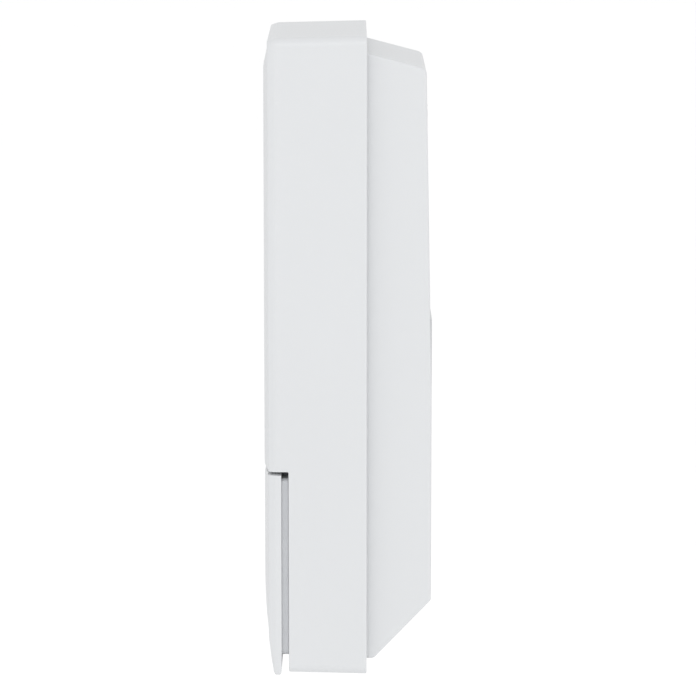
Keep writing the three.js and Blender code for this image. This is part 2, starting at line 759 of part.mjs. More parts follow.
function batteryPack() {
  const { halfW, top, bottom, y, halfD } = BATTERY;
  const wrap = prism(roundedRect(halfW, halfD, 4.5, 0, y), 'z', bottom, top, 3);
  const seam = prism(roundedRect(halfW + 1, halfD + 1, 4.5, 0, y), 'z', -10.2, -9.8, 3);
  const core = prism(roundedRect(halfW - 0.3, halfD - 0.3, 4.2, 0, y), 'z', -11, -9, 3);
  return cut(wrap, cut(seam, core));
}

function batteryPad() {
  const outline = roundedRect(12, 24, 1.5, 0, -10);
  return prism(outline, 'y', BATTERY.y + BATTERY.halfD + 0.1, REAR_INNER_Y - 0.2, 2);
}

function batteryLead(x) {
  return wire(
    [
      [x, BATTERY.y, BATTERY.top + 0.3],
      [x, BATTERY.y - 0.4, BATTERY.top + 2.6],
      [x, -18, BATTERY.top + 3.2],
      [x, -21, BATTERY.top + 3.6],
      [x, -21.6, CONNECTOR.bottom - 0.2],
    ],
    LEAD.r,
  );
}

function batteryConnector() {
  const { x, halfW, top, bottom, front } = CONNECTOR;
  const shell = box(x - halfW, x + halfW, front, front + 3.6, bottom, top);
  const latch = box(x - 1, x + 1, front + 3.4, front + 4.1, bottom + 1, top - 0.6);
  return join(shell, latch);
}

// ---- Rear housing ----

const slope = (REAR.top - REAR.topRear) / (REAR_LEAN.top - SPLIT_Y);
const rearTopAt = (y) => REAR.top - slope * (y - SPLIT_Y);

// Side profile of the rear box: sloping top, back leaning out down to the knee, bottom chamfer.
function rearProfile() {
  return polygon([
    [FLANGE.rear - 0.3, rearTopAt(FLANGE.rear - 0.3)],
    [FLANGE.rear - 0.3, REAR.bottom],
    [CHAMFER_Y, REAR.bottom],
    [REAR_LEAN.bottom, REAR_LEAN.chamferZ],
    [REAR_LEAN.bottom, REAR_LEAN.kneeZ],
    [REAR_LEAN.top, REAR.topRear],
  ]);
}

function rearBox() {
  const edge = 0.5;
  const geometry = new THREE.ExtrudeGeometry(rearProfile(), {
    depth: (REAR.halfW - edge) * 2,
    bevelEnabled: true,
    bevelSize: edge,
    bevelOffset: -edge,
    bevelThickness: edge,
    bevelSegments: 2,
  });
  geometry.translate(0, 0, edge - REAR.halfW);
  geometry.applyMatrix4(PRISM_FRAMES.x);
  return toSolid(geometry);
}

function rearRoom() {
  const chamferSlope = (REAR_LEAN.chamferZ - REAR.bottom) / (REAR_LEAN.bottom - CHAMFER_Y);
  const innerBottom = REAR.bottom + WALL;
  const chamferAtInner = REAR.bottom + chamferSlope * (REAR_INNER_Y - CHAMFER_Y) + WALL * 1.45;
  const side = polygon([
    [FLANGE.front - 1, rearTopAt(SPLIT_Y) - WALL],
    [FLANGE.front - 1, innerBottom],
    [CHAMFER_Y - 0.8, innerBottom],
    [REAR_INNER_Y, chamferAtInner],
    [REAR_INNER_Y, rearTopAt(REAR_INNER_Y) - WALL - 0.2],
    [SPLIT_Y, rearTopAt(SPLIT_Y) - WALL],
  ]);
  const innerW = REAR.halfW - WALL;
  return prism(side, 'x', -innerW, innerW);
}

function rearHousing() {
  const flangeShape = roundedRect(FLANGE.halfW, FLANGE.halfH, 0.8);
  const flange = prism(flangeShape, 'y', FLANGE.front, FLANGE.rear, 2);
  const grooveIn = roundedRect(SEAL.outW - SEAL.thick - 0.1, SEAL.outH - SEAL.thick - 0.1, 0.6);
  const grooveOut = roundedRect(FLANGE.halfW + 1, FLANGE.halfH + 1, 1);
  const groove = cut(
    prism(grooveOut, 'y', SEAL.front - 0.1, SEAL.rear + 0.1, 2),
    prism(grooveIn, 'y', SEAL.front - 0.2, SEAL.rear + 0.2, 2),
  );
  const recess = prism(
    roundedRect(RECESS.halfW, (RECESS.top - RECESS.bottom) / 2, 1.5, 0, (RECESS.top + RECESS.bottom) / 2),
    'y', RECESS.floor, 2, 2,
  );
  const outer = rearBox();
  const shell = cut(join(outer, flange), rearRoom(), groove, recess);

  const stock = ({ halfW, front, bottom, top }, rear) => box(-halfW, halfW, front, rear, bottom, top);
  const blocks = [
    stock(HOOK_STOCK, REAR_INNER_Y + 0.2),
    stock(LUG_STOCK, REAR_INNER_Y + 0.2),
    stock({ ...LUG_STOCK, bottom: SCREW_STOCK.bottom, top: RECESS.bottom }, SCREW_STOCK.rear),
  ];
  const pieces = blocks.map((block) => block.intersect(outer));
  const { front: portFront, rear: portRear } = PORT_CUT;
  const usbHole = roundedRect(USB.w / 2 + 0.3, USB.h / 2 + 0.3, 1.6, USB.x, USB.z);
  const cuts = [
    stock({ ...LUG_POCKET, bottom: RECESS.bottom }, 0),
    rodZ(SECURITY.shankR + 0.3, -70, -50, 0, SECURITY.y, 8),
    rodZ(SECURITY.headR + 0.4, -70, SECURITY.seatZ, 0, SECURITY.y, 10),
    stock({ ...HOOK_POCKET, top: RECESS.top }, RECESS.floor + 1),
    slotY(0, TERMINAL.z, TERMINAL.halfW * 2 + 0.8, TERMINAL.halfH * 2 + 0.8, portFront, portRear),
    prism(usbHole, 'y', portFront, portRear, 2),
    rodY(RESET.r + 0.3, portFront, portRear, RESET.x, RESET.z, 8),
    rodY(TAMPER.r + 0.3, portFront, portRear, 0, TAMPER.z, 8),
  ];
  for (const [x, z] of POSTS) {
    pieces.push(rodY(POST.outerR, FLANGE.front, REAR_INNER_Y + 0.5, x, z, 7));
    cuts.push(rodY(POST.boreR, POST.seat, 0, x, z, 7));
    cuts.push(rodY(POST.holeR, FLANGE.front - 1, 0, x, z, 6));
  }
  const { halfL } = PIVOT;
  const bar = prism(circle(PIVOT.r, PIVOT.y, PIVOT.z), 'x', -halfL, halfL, 10);
  const cheek = (x0, x1) =>
    box(x0, x1, RECESS.floor - 0.3, CHEEK.rear, CHEEK.bottom, RECESS.top + CHEEK.lap);
  const cheeks = [cheek(-halfL - 1, CHEEK.lap - halfL), cheek(halfL - CHEEK.lap, halfL + 1)];
  return join(cut(join(shell, ...pieces), ...cuts), bar, ...cheeks);
}

function rearSeal() {
  const { outW, outH, thick, front, rear } = SEAL;
  return cut(
    prism(roundedRect(outW, outH, 0.9), 'y', front, rear, 2),
    prism(roundedRect(outW - thick, outH - thick, 0.6), 'y', front - 1, rear + 1, 2),
  );
}

// ---- Power board at the back ----

function powerBoard() {
  const { halfW, top, bottom, front, rear } = POWER;
  const outline = roundedRect(halfW, (top - bottom) / 2, 1, 0, (top + bottom) / 2);
  return prism(outline, 'y', front, rear, 1);
}

function terminalBlock() {
  const { z, halfW, halfH, screwX } = TERMINAL;
  const front = POWER.rear + 0.1;
  const rear = -4.4;
  const body = box(-halfW, halfW, front, rear, z - halfH, z + halfH);
  const cuts = [-1, 1].flatMap((side) => [
    rodY(2.3, rear - 1.6, rear + 1, side * screwX, z, 8),
    rodY(1.5, front + 0.6, rear, side * screwX, z, 8),
    box(side * screwX - 1.4, side * screwX + 1.4, rear - 2.6, rear + 1, z - halfH - 1, z - 1),
  ]);
  return cut(body, ...cuts, box(-0.4, 0.4, rear - 0.8, rear + 1, z - halfH - 1, z + halfH + 1));
}

function usbPort() {
  const { x, z, w, h } = USB;
  const front = POWER.rear + 0.1;
  const rear = -5.2;
  const shell = prism(roundedRect(w / 2, h / 2, 1.5, x, z), 'y', front, rear, 3);
  const mouth = prism(roundedRect(w / 2 - 0.35, h / 2 - 0.35, 1.2, x, z), 'y', front + 0.6, rear + 1, 3);
  const tongue = slotY(x, z, 6.2, 0.7, front + 0.3, rear - 0.6);
  return join(cut(shell, mouth), tongue);
}

function resetButton() {
  const cap = turned(
    [
      [0, -8.6],
      [1, -8.6],
      [1, -7.9],
      [2.6, -7.9],
      [2.6, -7.2],
      [1.8, -7.2],
      [1.8, -5.1],
      [1.5, -4.8],
      [0, -4.8],
    ],
    RESET.z,
    18,
  );
  return cap.translate([RESET.x, 0, 0]);
}

function tamperSwitch() {
  const body = slotY(0, TAMPER.z, 6, 6, POWER.rear + 0.1, REAR_INNER_Y - 0.3);
  return cut(body, rodY(1.9, POWER.rear - 1, REAR_INNER_Y, 0, TAMPER.z, 8));
}

function tamperPlunger() {
  return turned(
    [
      [0, -8.2],
      [1.6, -8.2],
      [1.6, -7.4],
      [TAMPER.r, -7.4],
      [TAMPER.r, -2.8],
      [0.7, -2.4],
      [0, -2.4],
    ],
    TAMPER.z,
    14,
  );
}

// ---- Wall plate ----

// A slot for a wall screw, with a counterbore in front for its head.
function wallScrewSlot(x, { z, runX, runZ }) {
  const { shankR, headR, headY } = WALL_SCREW;
  const slot = (r) => roundedRect(runX + r, runZ + r, r - 0.05, x, z);
  return [prism(slot(shankR), 'y', -4, 1, 3), prism(slot(headR), 'y', -5, headY, 3)];
}

function hookProfile() {
  const { y, z, r } = PIVOT;
  const under = z - r - 0.25;
  const lipRear = y - r - 0.3;
  return polygon([
    [-STAND_OFF.depth - 0.1, 51.4],
    [-STAND_OFF.depth - 0.1, under],
    [lipRear, under],
    [lipRear, z + 1],
    [lipRear - 0.6, z + 1],
    [lipRear - 1.2, z + 0.2],
    [lipRear - 1.2, under - 1.4],
    [WALL_PLATE.rimY, 51.4],
  ]);
}

function wallPlate() {
  const { halfW, top, bottom, thick, rim, rimY } = WALL_PLATE;
  const midZ = (top + bottom) / 2;
  const halfH = (top - bottom) / 2;
  const slab = prism(roundedRect(halfW, halfH, 1.5, 0, midZ), 'y', -thick, 0, 2);
  const border = cut(
    prism(roundedRect(halfW, halfH, 1.5, 0, midZ), 'y', rimY, -thick + 0.1, 2),
    prism(roundedRect(halfW - rim, halfH - rim, 0.8, 0, midZ), 'y', rimY - 1, 0, 2),
  );
  const wireRoom = box(-halfW - 1, halfW + 1, -STAND_OFF.depth, 1, STAND_OFF.z, top + 1);
  const opening = prism(roundedRect(CABLE.w / 2, CABLE.h / 2, CABLE.r, 0, CABLE.z), 'y', rimY - 2, 1, 3);
  const plate = cut(join(slab, border), wireRoom, opening);
  const collar = cut(
    prism(roundedRect(CABLE.w / 2 + 1.2, CABLE.h / 2 + 1.2, CABLE.r + 1.2, 0, CABLE.z), 'y', -2.9, -1.9, 3),
    prism(roundedRect(CABLE.w / 2, CABLE.h / 2, CABLE.r, 0, CABLE.z), 'y', -5, 1, 3),
  );
  const hooks = [-1, 1].map((side) =>
    prism(hookProfile(), 'x', side * HOOKS.x - HOOKS.w / 2, side * HOOKS.x + HOOKS.w / 2),
  );
  const lug = cut(
    box(-LUG.halfW, LUG.halfW, LUG.front, -0.6, LUG.bottom, LUG.top),
    rodZ(LUG.notchR, LUG.bottom - 1, LUG.top + 1, 0, SECURITY.y, 8),
    box(-LUG.notchR, LUG.notchR, LUG.front - 1, SECURITY.y, LUG.bottom - 1, LUG.top + 1),
  );
  const slots = WALL_SLOTS.flatMap((slot) => [
    ...wallScrewSlot(-slot.x, slot),
    ...wallScrewSlot(slot.x, slot),
  ]);
  return join(cut(plate, ...slots), collar, ...hooks, lug);
}

// ---- Assembly ----

addPart(doorbell, 'wall_plate', wallPlate(), 'plate_plastic');

addPart(unit, 'front_housing', frontHousing(), 'white_plastic');
addPart(unit, 'rear_housing', rearHousing(), 'white_plastic');
addPart(unit, 'rear_seal', rearSeal(), 'silicone');

const housingScrew = screw({ headR: 2.2, headH: 1.6, shankR: 1.25, length: 11, socketR: 1 });
POSTS.forEach(([x, z], i) => {
  const part = addPart(unit, `housing_screw_${i + 1}`, housingScrew, 'steel');
  part.position.set(x, POST.seat + 0.05, z);
});

const securityScrew = screw({ headR: 2.7, headH: 2, shankR: 1.4, length: 10.5, socketR: 1.3 });
const security = addPart(unit, 'security_screw', securityScrew, 'steel');
security.position.set(0, SECURITY.y, SECURITY.seatZ - 0.05);
security.rotation.x = -Math.PI / 2;

addPart(unit, 'camera_window', cameraWindow(), 'black_gloss');
addPart(unit, 'window_gasket', windowGasket(), 'silicone');
addPart(unit, 'lens_barrel', lensBarrel(), 'black_plastic');
addPart(unit, 'lens_glass', lensGlass(), 'lens_glass');
addPart(unit, 'camera_bracket', cameraBracket(), 'black_plastic');
addPart(unit, 'sensor_board', sensorBoard(), 'board');
addPart(unit, 'image_sensor', imageSensor(), 'chip');
addPart(unit, 'ir_board', irBoard(), 'board');
addPart(unit, 'ir_baffle', irBaffle(), 'foam');
addPart(unit, 'light_sensor', lightSensor(), 'chip');
let ledNumber = 1;
for (const sx of [-1, 1]) {
  for (const sz of [-1, 1]) {
    const led = irLed(sx * IR.ledOffset, LENS.z + sz * IR.ledOffset);
    addPart(unit, `ir_led_${ledNumber}`, led, 'led');
    ledNumber += 1;
  }
}
addPart(unit, 'pir_lens', pirLens(), 'pir_plastic');
addPart(unit, 'pir_sensor', pirSensor(), 'tin');

addPart(unit, 'bell_plate', bellPlate(), 'white_plastic');
addPart(unit, 'light_guide', lightGuide(), 'light_plastic');
addPart(unit, 'button_seal', buttonSeal(), 'silicone');
addPart(unit, 'tact_switch', tactSwitch(), 'black_plastic');
addPart(unit, 'switch_stem', switchStem(), 'black_plastic');
let ringNumber = 1;
for (const side of [-1, 1]) {
  for (const z of GUIDE_LEGS.z) {
    const rear = BOARD.front - 0.1;
    const led = slotY(side * RING_LED.x, z, RING_LED.w, RING_LED.h, rear - RING_LED.thick, rear);
    addPart(unit, `ring_led_${ringNumber}`, led, 'led');
    ringNumber += 1;
  }
}

addPart(unit, 'main_board', mainBoard(), 'board');
const boardScrew = screw({ headR: 1.9, headH: 1.3, shankR: 0.95, length: 7, socketR: 0.8 });
BOARD_SCREWS.forEach(([x, z], i) => {
  const part = addPart(unit, `board_screw_${i + 1}`, boardScrew, 'steel');
  part.position.set(x, BOARD.rear + 0.05, z);
});
addPart(unit, 'shield_can', shieldCan(), 'tin');
addPart(unit, 'antenna', antenna(), 'flex');
addPart(unit, 'microphone', microphone(), 'tin');
addPart(unit, 'mic_boot', micBoot(), 'silicone');

addPart(unit, 'speaker', speaker(), 'black_plastic');
addPart(unit, 'speaker_gasket', speakerGasket(), 'foam');
addPart(unit, 'speaker_mesh', speakerMesh(), 'black_plastic');

addPart(unit, 'battery_pack', batteryPack(), 'battery_wrap');
addPart(unit, 'battery_pad', batteryPad(), 'foam');
addPart(unit, 'battery_connector', batteryConnector(), 'led');
addPart(unit, 'battery_lead_red', batteryLead(LEAD.x), 'wire_red');
addPart(unit, 'battery_lead_black', batteryLead(LEAD.x + LEAD.pitch), 'wire_black');

const cameraRibbonPath = [
  [SENSOR_BOARD.rear + 0.3, 43],
  [SENSOR_BOARD.rear + 0.3, 39.5],
  [SENSOR_BOARD.rear - 0.2, 35.5],
  [BOARD.rear + 0.6, 32.5],
  [BOARD.rear + 0.3, 29],
];
addPart(unit, 'camera_ribbon', strip(cameraRibbonPath, 0, 6, 0.25), 'flex');

addPart(unit, 'power_board', powerBoard(), 'board');
addPart(unit, 'terminal_block', terminalBlock(), 'terminal');
const terminalScrew = screw({ headR: 2, headH: 1.3, shankR: 1.1, length: 2.4, socketR: 0.9 });
[-1, 1].forEach((side, i) => {
  const part = addPart(unit, `terminal_screw_${i + 1}`, terminalScrew, 'steel');
  part.position.set(side * TERMINAL.screwX, -5.9, TERMINAL.z);
});
addPart(unit, 'usb_port', usbPort(), 'tin');
addPart(unit, 'reset_button', resetButton(), 'black_plastic');
addPart(unit, 'tamper_switch', tamperSwitch(), 'black_plastic');
addPart(unit, 'tamper_plunger', tamperPlunger(), 'plate_plastic');

const powerRibbonPath = [
  [POWER.front - 0.3, 32],
  [POWER.front - 0.3, 27.5],
  [-12.2, 24],
  [-17, 23],
  [-21.8, 24.2],
  [BOARD.rear + 0.4, 27.5],
  [BOARD.rear + 0.3, 31],
];
addPart(unit, 'power_ribbon', strip(powerRibbonPath, -7, 6, 0.25), 'flex');

export default doorbell;
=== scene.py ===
import json
import math

import bmesh
import bpy
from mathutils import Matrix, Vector


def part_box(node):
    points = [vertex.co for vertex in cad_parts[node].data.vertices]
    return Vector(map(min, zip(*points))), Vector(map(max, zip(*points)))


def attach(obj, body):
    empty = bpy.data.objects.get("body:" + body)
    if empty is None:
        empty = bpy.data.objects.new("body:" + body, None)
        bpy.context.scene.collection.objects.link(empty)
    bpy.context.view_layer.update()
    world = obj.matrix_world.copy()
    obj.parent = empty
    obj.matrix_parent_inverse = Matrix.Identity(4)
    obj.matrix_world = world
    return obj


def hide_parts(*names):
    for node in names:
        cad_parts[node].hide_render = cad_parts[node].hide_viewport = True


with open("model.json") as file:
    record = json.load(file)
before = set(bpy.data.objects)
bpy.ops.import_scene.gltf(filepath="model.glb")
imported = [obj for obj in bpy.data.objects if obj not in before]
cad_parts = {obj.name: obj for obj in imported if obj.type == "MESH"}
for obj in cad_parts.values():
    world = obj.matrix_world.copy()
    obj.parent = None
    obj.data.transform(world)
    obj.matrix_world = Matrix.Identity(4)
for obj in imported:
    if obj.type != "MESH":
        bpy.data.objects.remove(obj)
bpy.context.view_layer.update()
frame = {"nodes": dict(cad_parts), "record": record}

# Video doorbell: fine shells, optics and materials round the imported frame.
# Shapes are drawn in millimetres in the frame's axes: +Z up, the front faces -Y, the wall is Y = 0.

MM = 0.001
SCENE = bpy.context.scene


def corners_mm(node):
    """Lowest and highest corner of a CAD node, in millimetres."""
    low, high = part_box(node)
    return Vector(low) / MM, Vector(high) / MM


# ---- Dimensions, taken from the frame ----

FRONT_LOW, FRONT_HIGH = corners_mm("front_housing")
REAR_HIGH = corners_mm("rear_housing")[1]
BELL_HIGH = corners_mm("bell_plate")[1]
GUIDE_LOW, GUIDE_HIGH = corners_mm("light_guide")
WINDOW_LOW, WINDOW_HIGH = corners_mm("camera_window")
PIR_LOW, PIR_HIGH = corners_mm("pir_lens")
LENS_LOW, LENS_HIGH = corners_mm("lens_barrel")
GLASS_LOW, GLASS_HIGH = corners_mm("lens_glass")
BOARD_LOW = corners_mm("main_board")[0]
STEM_LOW, STEM_HIGH = corners_mm("switch_stem")
BOOT_LOW, BOOT_HIGH = corners_mm("mic_boot")
SPEAKER_LOW, SPEAKER_HIGH = corners_mm("speaker")

HALF_W = FRONT_HIGH.x
HALF_H = FRONT_HIGH.z
FRONT_Y = FRONT_LOW.y
SPLIT_Y = FRONT_HIGH.y
WALL = 2.0
CORNER_R = 2.0
RIM_INSET, RIM_RUN = 0.5, 1.6  # rounding where the sides meet the bevelled front
DRAFT = 0.5  # the top and bottom faces close in by this much towards the front rim
BEVEL_DEPTH, BEVEL_START, BEVEL_END = 0.9, 2.0, 6.1  # shallow bevel round the front field
BEVEL_CORNER_R = 0.9

BAY_Y = FRONT_Y + 5.25
PLATE_REAR = FRONT_Y + 3.7
PLATE_POCKET = FRONT_Y + 2.5  # floor of the hollow behind the bell plate
BAY_Z = BELL_HIGH.z + 0.6
BAY_LIP_R = 1.4
PLATE_ROOF = 0.8  # thickness of the bell plate's top edge
LENS_Z = (LENS_LOW.z + LENS_HIGH.z) / 2
PIR_Z = (PIR_LOW.z + PIR_HIGH.z) / 2
WINDOW_Z = (WINDOW_LOW.z + WINDOW_HIGH.z) / 2
WINDOW_GAP = 0.2
WINDOW_R = 8.0
WINDOW_LEDGE = 1.8
PRESS_Z = (STEM_LOW.z + STEM_HIGH.z) / 2
MIC_Z = (BOOT_LOW.z + BOOT_HIGH.z) / 2
SPEAKER_Y = (SPEAKER_LOW.y + SPEAKER_HIGH.y) / 2


# ---- Mesh building ----

def mesh_object(name, verts, faces):
    mesh = bpy.data.meshes.new(name)
    mesh.from_pydata([[c * MM for c in v] for v in verts], [], faces)
    obj = bpy.data.objects.new(name, mesh)
    SCENE.collection.objects.link(obj)
    bm = bmesh.new()
    bm.from_mesh(mesh)
    bmesh.ops.remove_doubles(bm, verts=bm.verts, dist=1e-8)
    bmesh.ops.recalc_face_normals(bm, faces=bm.faces)
    bm.to_mesh(mesh)
    bm.free()
    return obj


def loft(name, rings):
    """A closed skin through rings of points, with a flat cap at each end."""
    count = len(rings[0])
    faces = []
    for k in range(len(rings) - 1):
        for i in range(count):
            j = (i + 1) % count
            faces.append((k * count + i, k * count + j, (k + 1) * count + j, (k + 1) * count + i))
    faces.append(tuple(range(count)))
    faces.append(tuple(range((len(rings) - 1) * count, len(rings) * count)))
    return mesh_object(name, [p for ring in rings for p in ring], faces)


PLACE = {
    "x": lambda a, b, t: (t, a, b),
    "y": lambda a, b, t: (a, t, b),
    "z": lambda a, b, t: (a, b, t),
}


def prism(outline, axis, low, high, name="tool"):
    """An outline in (Y, Z), (X, Z) or (X, Y), drawn out along X, Y or Z."""
    place = PLACE[axis]
    return loft(name, [[place(a, b, t) for a, b in outline] for t in (low, high)])


def rounded_rect(half_w, half_h, r, cx=0.0, cy=0.0, steps=10):
    points = []
    for quarter, (sx, sy) in enumerate(((1, 1), (-1, 1), (-1, -1), (1, -1))):
        for i in range(steps + 1):
            angle = (quarter + i / steps) * math.pi / 2
            points.append((
                cx + sx * (half_w - r) + r * math.cos(angle),
                cy + sy * (half_h - r) + r * math.sin(angle),
            ))
    return points


def circle(r, cx=0.0, cy=0.0, steps=32):
    turn = [2 * math.pi * i / steps for i in range(steps)]
    return [(cx + r * math.cos(a), cy + r * math.sin(a)) for a in turn]


def block(x0, x1, y0, y1, z0, z1):
    return prism([(x0, y0), (x1, y0), (x1, y1), (x0, y1)], "z", z0, z1)


def rod_y(r, low, high, x, z, steps=32):
    return prism(circle(r, x, z, steps), "y", low, high)


def turned(name, profile, x=0.0, z=0.0, steps=64, axis="y"):
    """A turned solid round an axis through (x, z); the profile is a list of (radius, position)."""
    rings = []
    place = PLACE[axis]
    for r, t in profile:
        ring = circle(max(r, 1e-3), x, z, steps)
        rings.append([place(a, b, t) for a, b in ring])
    return loft(name, rings)


def round_path(points, radii, steps=6):
    """An open path whose corners are eased into arcs; the end points have no radius."""
    path = [points[0]]
    for before, corner, after, r in zip(points, points[1:], points[2:], radii):
        corner = Vector(corner)
        back = (Vector(before) - corner).normalized()
        ahead = (Vector(after) - corner).normalized()
        turn = math.pi - back.angle(ahead)
        reach = r * math.tan(turn / 2)
        start, end = corner + back * reach, corner + ahead * reach
        for i in range(steps + 1):
            u = i / steps
            path.append(tuple(start * (1 - u) ** 2 + corner * 2 * u * (1 - u) + end * u ** 2))
    return path + [points[-1]]


def apply_modifiers(obj):
    graph = bpy.context.evaluated_depsgraph_get()
    mesh = bpy.data.meshes.new_from_object(obj.evaluated_get(graph))
    obj.modifiers.clear()
    obj.data = mesh


def combine(obj, tools, operation):
    """Joins to, cuts or keeps the shared part of obj with each tool, and deletes the tools."""
    for tool in tools:
        step = obj.modifiers.new("step", "BOOLEAN")
        step.operation = operation
        step.solver = "EXACT"
        step.object = tool
        apply_modifiers(obj)
        bpy.data.objects.remove(tool)
    return obj


def tidy_mesh(obj, flat_degrees=0.3):
    """Takes out the slivers and the needless edges that joining and cutting leave."""
    bm = bmesh.new()
    bm.from_mesh(obj.data)
    bmesh.ops.remove_doubles(bm, verts=bm.verts, dist=2e-6)
    bmesh.ops.dissolve_limit(
        bm, angle_limit=math.radians(flat_degrees), verts=bm.verts, edges=bm.edges,
    )
    bm.to_mesh(obj.data)
    bm.free()


def soften(obj, width, segments=3, angle=35.0):
    """Rounds the sharp edges by width millimetres and keeps the flat faces flat."""
    for face in obj.data.polygons:
        face.use_smooth = True
    bevel = obj.modifiers.new("edge", "BEVEL")
    bevel.width = width * MM
    bevel.segments = segments
    bevel.limit_method = "ANGLE"
    bevel.angle_limit = math.radians(angle)
    bevel.use_clamp_overlap = False
    normals = obj.modifiers.new("normals", "WEIGHTED_NORMAL")
    normals.keep_sharp = True
    return obj


def finish_piece(obj, name, body, slot, *nodes):
    """Names a new piece, gives it its finish and lets it ride on its body in place of CAD nodes."""
    obj.name = name
    obj.data.name = name
    obj.data.materials.clear()
    obj.data.materials.append(MATERIALS[slot])
    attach(obj, body)
    if nodes:
        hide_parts(*nodes)
    return obj


def refined(node, body, name, width, segments=2):
    """A copy of a CAD node with its flat faces made whole and its edges rounded."""
    source = frame["nodes"][node]
    obj = bpy.data.objects.new(name, source.data.copy())
    SCENE.collection.objects.link(obj)
    obj.matrix_world = source.matrix_world.copy()
    tidy_mesh(obj)
    soften(obj, width, segments)
    return finish_piece(obj, name, body, SLOT_OF[node], node)


# ---- Materials ----

def node_set(name):
    material = bpy.data.materials.new(name)
    material.use_nodes = True
    tree = material.node_tree
    shader = tree.nodes["Principled BSDF"]
    place = tree.nodes.new("ShaderNodeTexCoord")
    return material, tree, shader, place.outputs["Object"]


def noise(tree, place, scale, detail=3.0, stretch=None):
    if stretch:
        mapping = tree.nodes.new("ShaderNodeMapping")
        mapping.inputs["Scale"].default_value = stretch
        tree.links.new(place, mapping.inputs["Vector"])
        place = mapping.outputs["Vector"]
    texture = tree.nodes.new("ShaderNodeTexNoise")
    texture.inputs["Scale"].default_value = scale
    texture.inputs["Detail"].default_value = detail
    tree.links.new(place, texture.inputs["Vector"])
    return texture.outputs["Fac"]


def ramp(tree, value, low, high, start=0.0, end=1.0):
    """Maps a 0 to 1 value onto a band between two numbers."""
    mapped = tree.nodes.new("ShaderNodeMapRange")
    mapped.inputs["From Min"].default_value = start
    mapped.inputs["From Max"].default_value = end
    mapped.inputs["To Min"].default_value = low
    mapped.inputs["To Max"].default_value = high
    tree.links.new(value, mapped.inputs["Value"])
    return mapped.outputs["Result"]


def mix_colours(tree, factor, first, second):
    mix = tree.nodes.new("ShaderNodeMix")
    mix.data_type = "RGBA"
    tree.links.new(factor, mix.inputs["Factor"])
    for socket, colour in ((mix.inputs["A"], first), (mix.inputs["B"], second)):
        if isinstance(colour, bpy.types.NodeSocket):
            tree.links.new(colour, socket)
        else:
            socket.default_value = (*colour, 1.0)
    return mix.outputs["Result"]


def bump(tree, shader, height, depth_mm, before=None):
    node = tree.nodes.new("ShaderNodeBump")
    node.inputs["Distance"].default_value = depth_mm * MM
    tree.links.new(height, node.inputs["Height"])
    if before:
        tree.links.new(before, node.inputs["Normal"])
    tree.links.new(node.outputs["Normal"], shader.inputs["Normal"])
    return node.outputs["Normal"]


def shade(colour, factor):
    return tuple(min(1.0, c * factor) for c in colour)


def edge_mask(tree, radius_mm):
    """1 on edges tighter than the radius and 0 on flat ground."""
    rounded = tree.nodes.new("ShaderNodeBevel")
    rounded.samples = 4
    rounded.inputs["Radius"].default_value = radius_mm * MM
    geometry = tree.nodes.new("ShaderNodeNewGeometry")
    turn = tree.nodes.new("ShaderNodeVectorMath")
    turn.operation = "DOT_PRODUCT"
    tree.links.new(rounded.outputs["Normal"], turn.inputs[0])
    tree.links.new(geometry.outputs["Normal"], turn.inputs[1])
    return ramp(tree, turn.outputs["Value"], 1.0, 0.0, 0.93, 0.997)


def moulded(name, colour, roughness, grain_mm=0.28, grain_depth=0.006, tint=0.03, edge_wear_and_painted_highlight=1.06,
            subsurface=0.0, coat=0.0, specular=0.5):
    """Moulded plastic or rubber: spark-eroded grain, faint flow marks, and edges painted lighter, partly as
    wear and partly as a painted highlight.
    """
    material, tree, shader, place = node_set(name)
    flow = noise(tree, place, 28, 4)
    grain = noise(tree, place, 1 / (grain_mm * MM), 2)
    clouds = mix_colours(tree, flow, shade(colour, 1 - tint), shade(colour, 1 + tint))
    # The edge band is painted lighter: partly wear, partly a painted highlight along the rounded edges.
    base = mix_colours(tree, edge_mask(tree, 0.35), clouds, shade(colour, edge_wear_and_painted_highlight))
    tree.links.new(base, shader.inputs["Base Color"])
    fine = ramp(tree, grain, roughness - 0.06, roughness + 0.06, 0.3, 0.7)
    tree.links.new(fine, shader.inputs["Roughness"])
    ripple = bump(tree, shader, flow, grain_depth * 1.5)
    bump(tree, shader, grain, grain_depth, ripple)
    shader.inputs["Subsurface Weight"].default_value = subsurface
    shader.inputs["Subsurface Radius"].default_value = (0.8 * MM, 0.8 * MM, 0.8 * MM)
    shader.inputs["Coat Weight"].default_value = coat
    shader.inputs["Coat Roughness"].default_value = 0.06
    shader.inputs["Specular IOR Level"].default_value = specular
    return material


def metal(name, colour, roughness, stretch=(1, 1, 14), scale=900):
    """Plated or tinned metal with fine drawn lines."""
    material, tree, shader, place = node_set(name)
    lines = noise(tree, place, scale, 3, stretch)
    stains = noise(tree, place, 160, 4)
    tree.links.new(mix_colours(tree, stains, shade(colour, 0.88), colour), shader.inputs["Base Color"])
    tree.links.new(ramp(tree, lines, roughness - 0.08, roughness + 0.1), shader.inputs["Roughness"])
    shader.inputs["Metallic"].default_value = 1.0
    bump(tree, shader, lines, 0.003)
    return material


def glass(name, colour, roughness=0.02):
    """Coated lens glass with a faint haze."""
    material, tree, shader, place = node_set(name)
    haze = noise(tree, place, 240, 3)
    tree.links.new(ramp(tree, haze, roughness, roughness + 0.03), shader.inputs["Roughness"])
    tree.links.new(mix_colours(tree, haze, colour, shade(colour, 0.94)), shader.inputs["Base Color"])
    shader.inputs["Transmission Weight"].default_value = 1.0
    shader.inputs["IOR"].default_value = 1.5
    shader.inputs["Coat Weight"].default_value = 0.5
    shader.inputs["Coat Tint"].default_value = (0.55, 0.6, 1.0, 1.0)
    return material


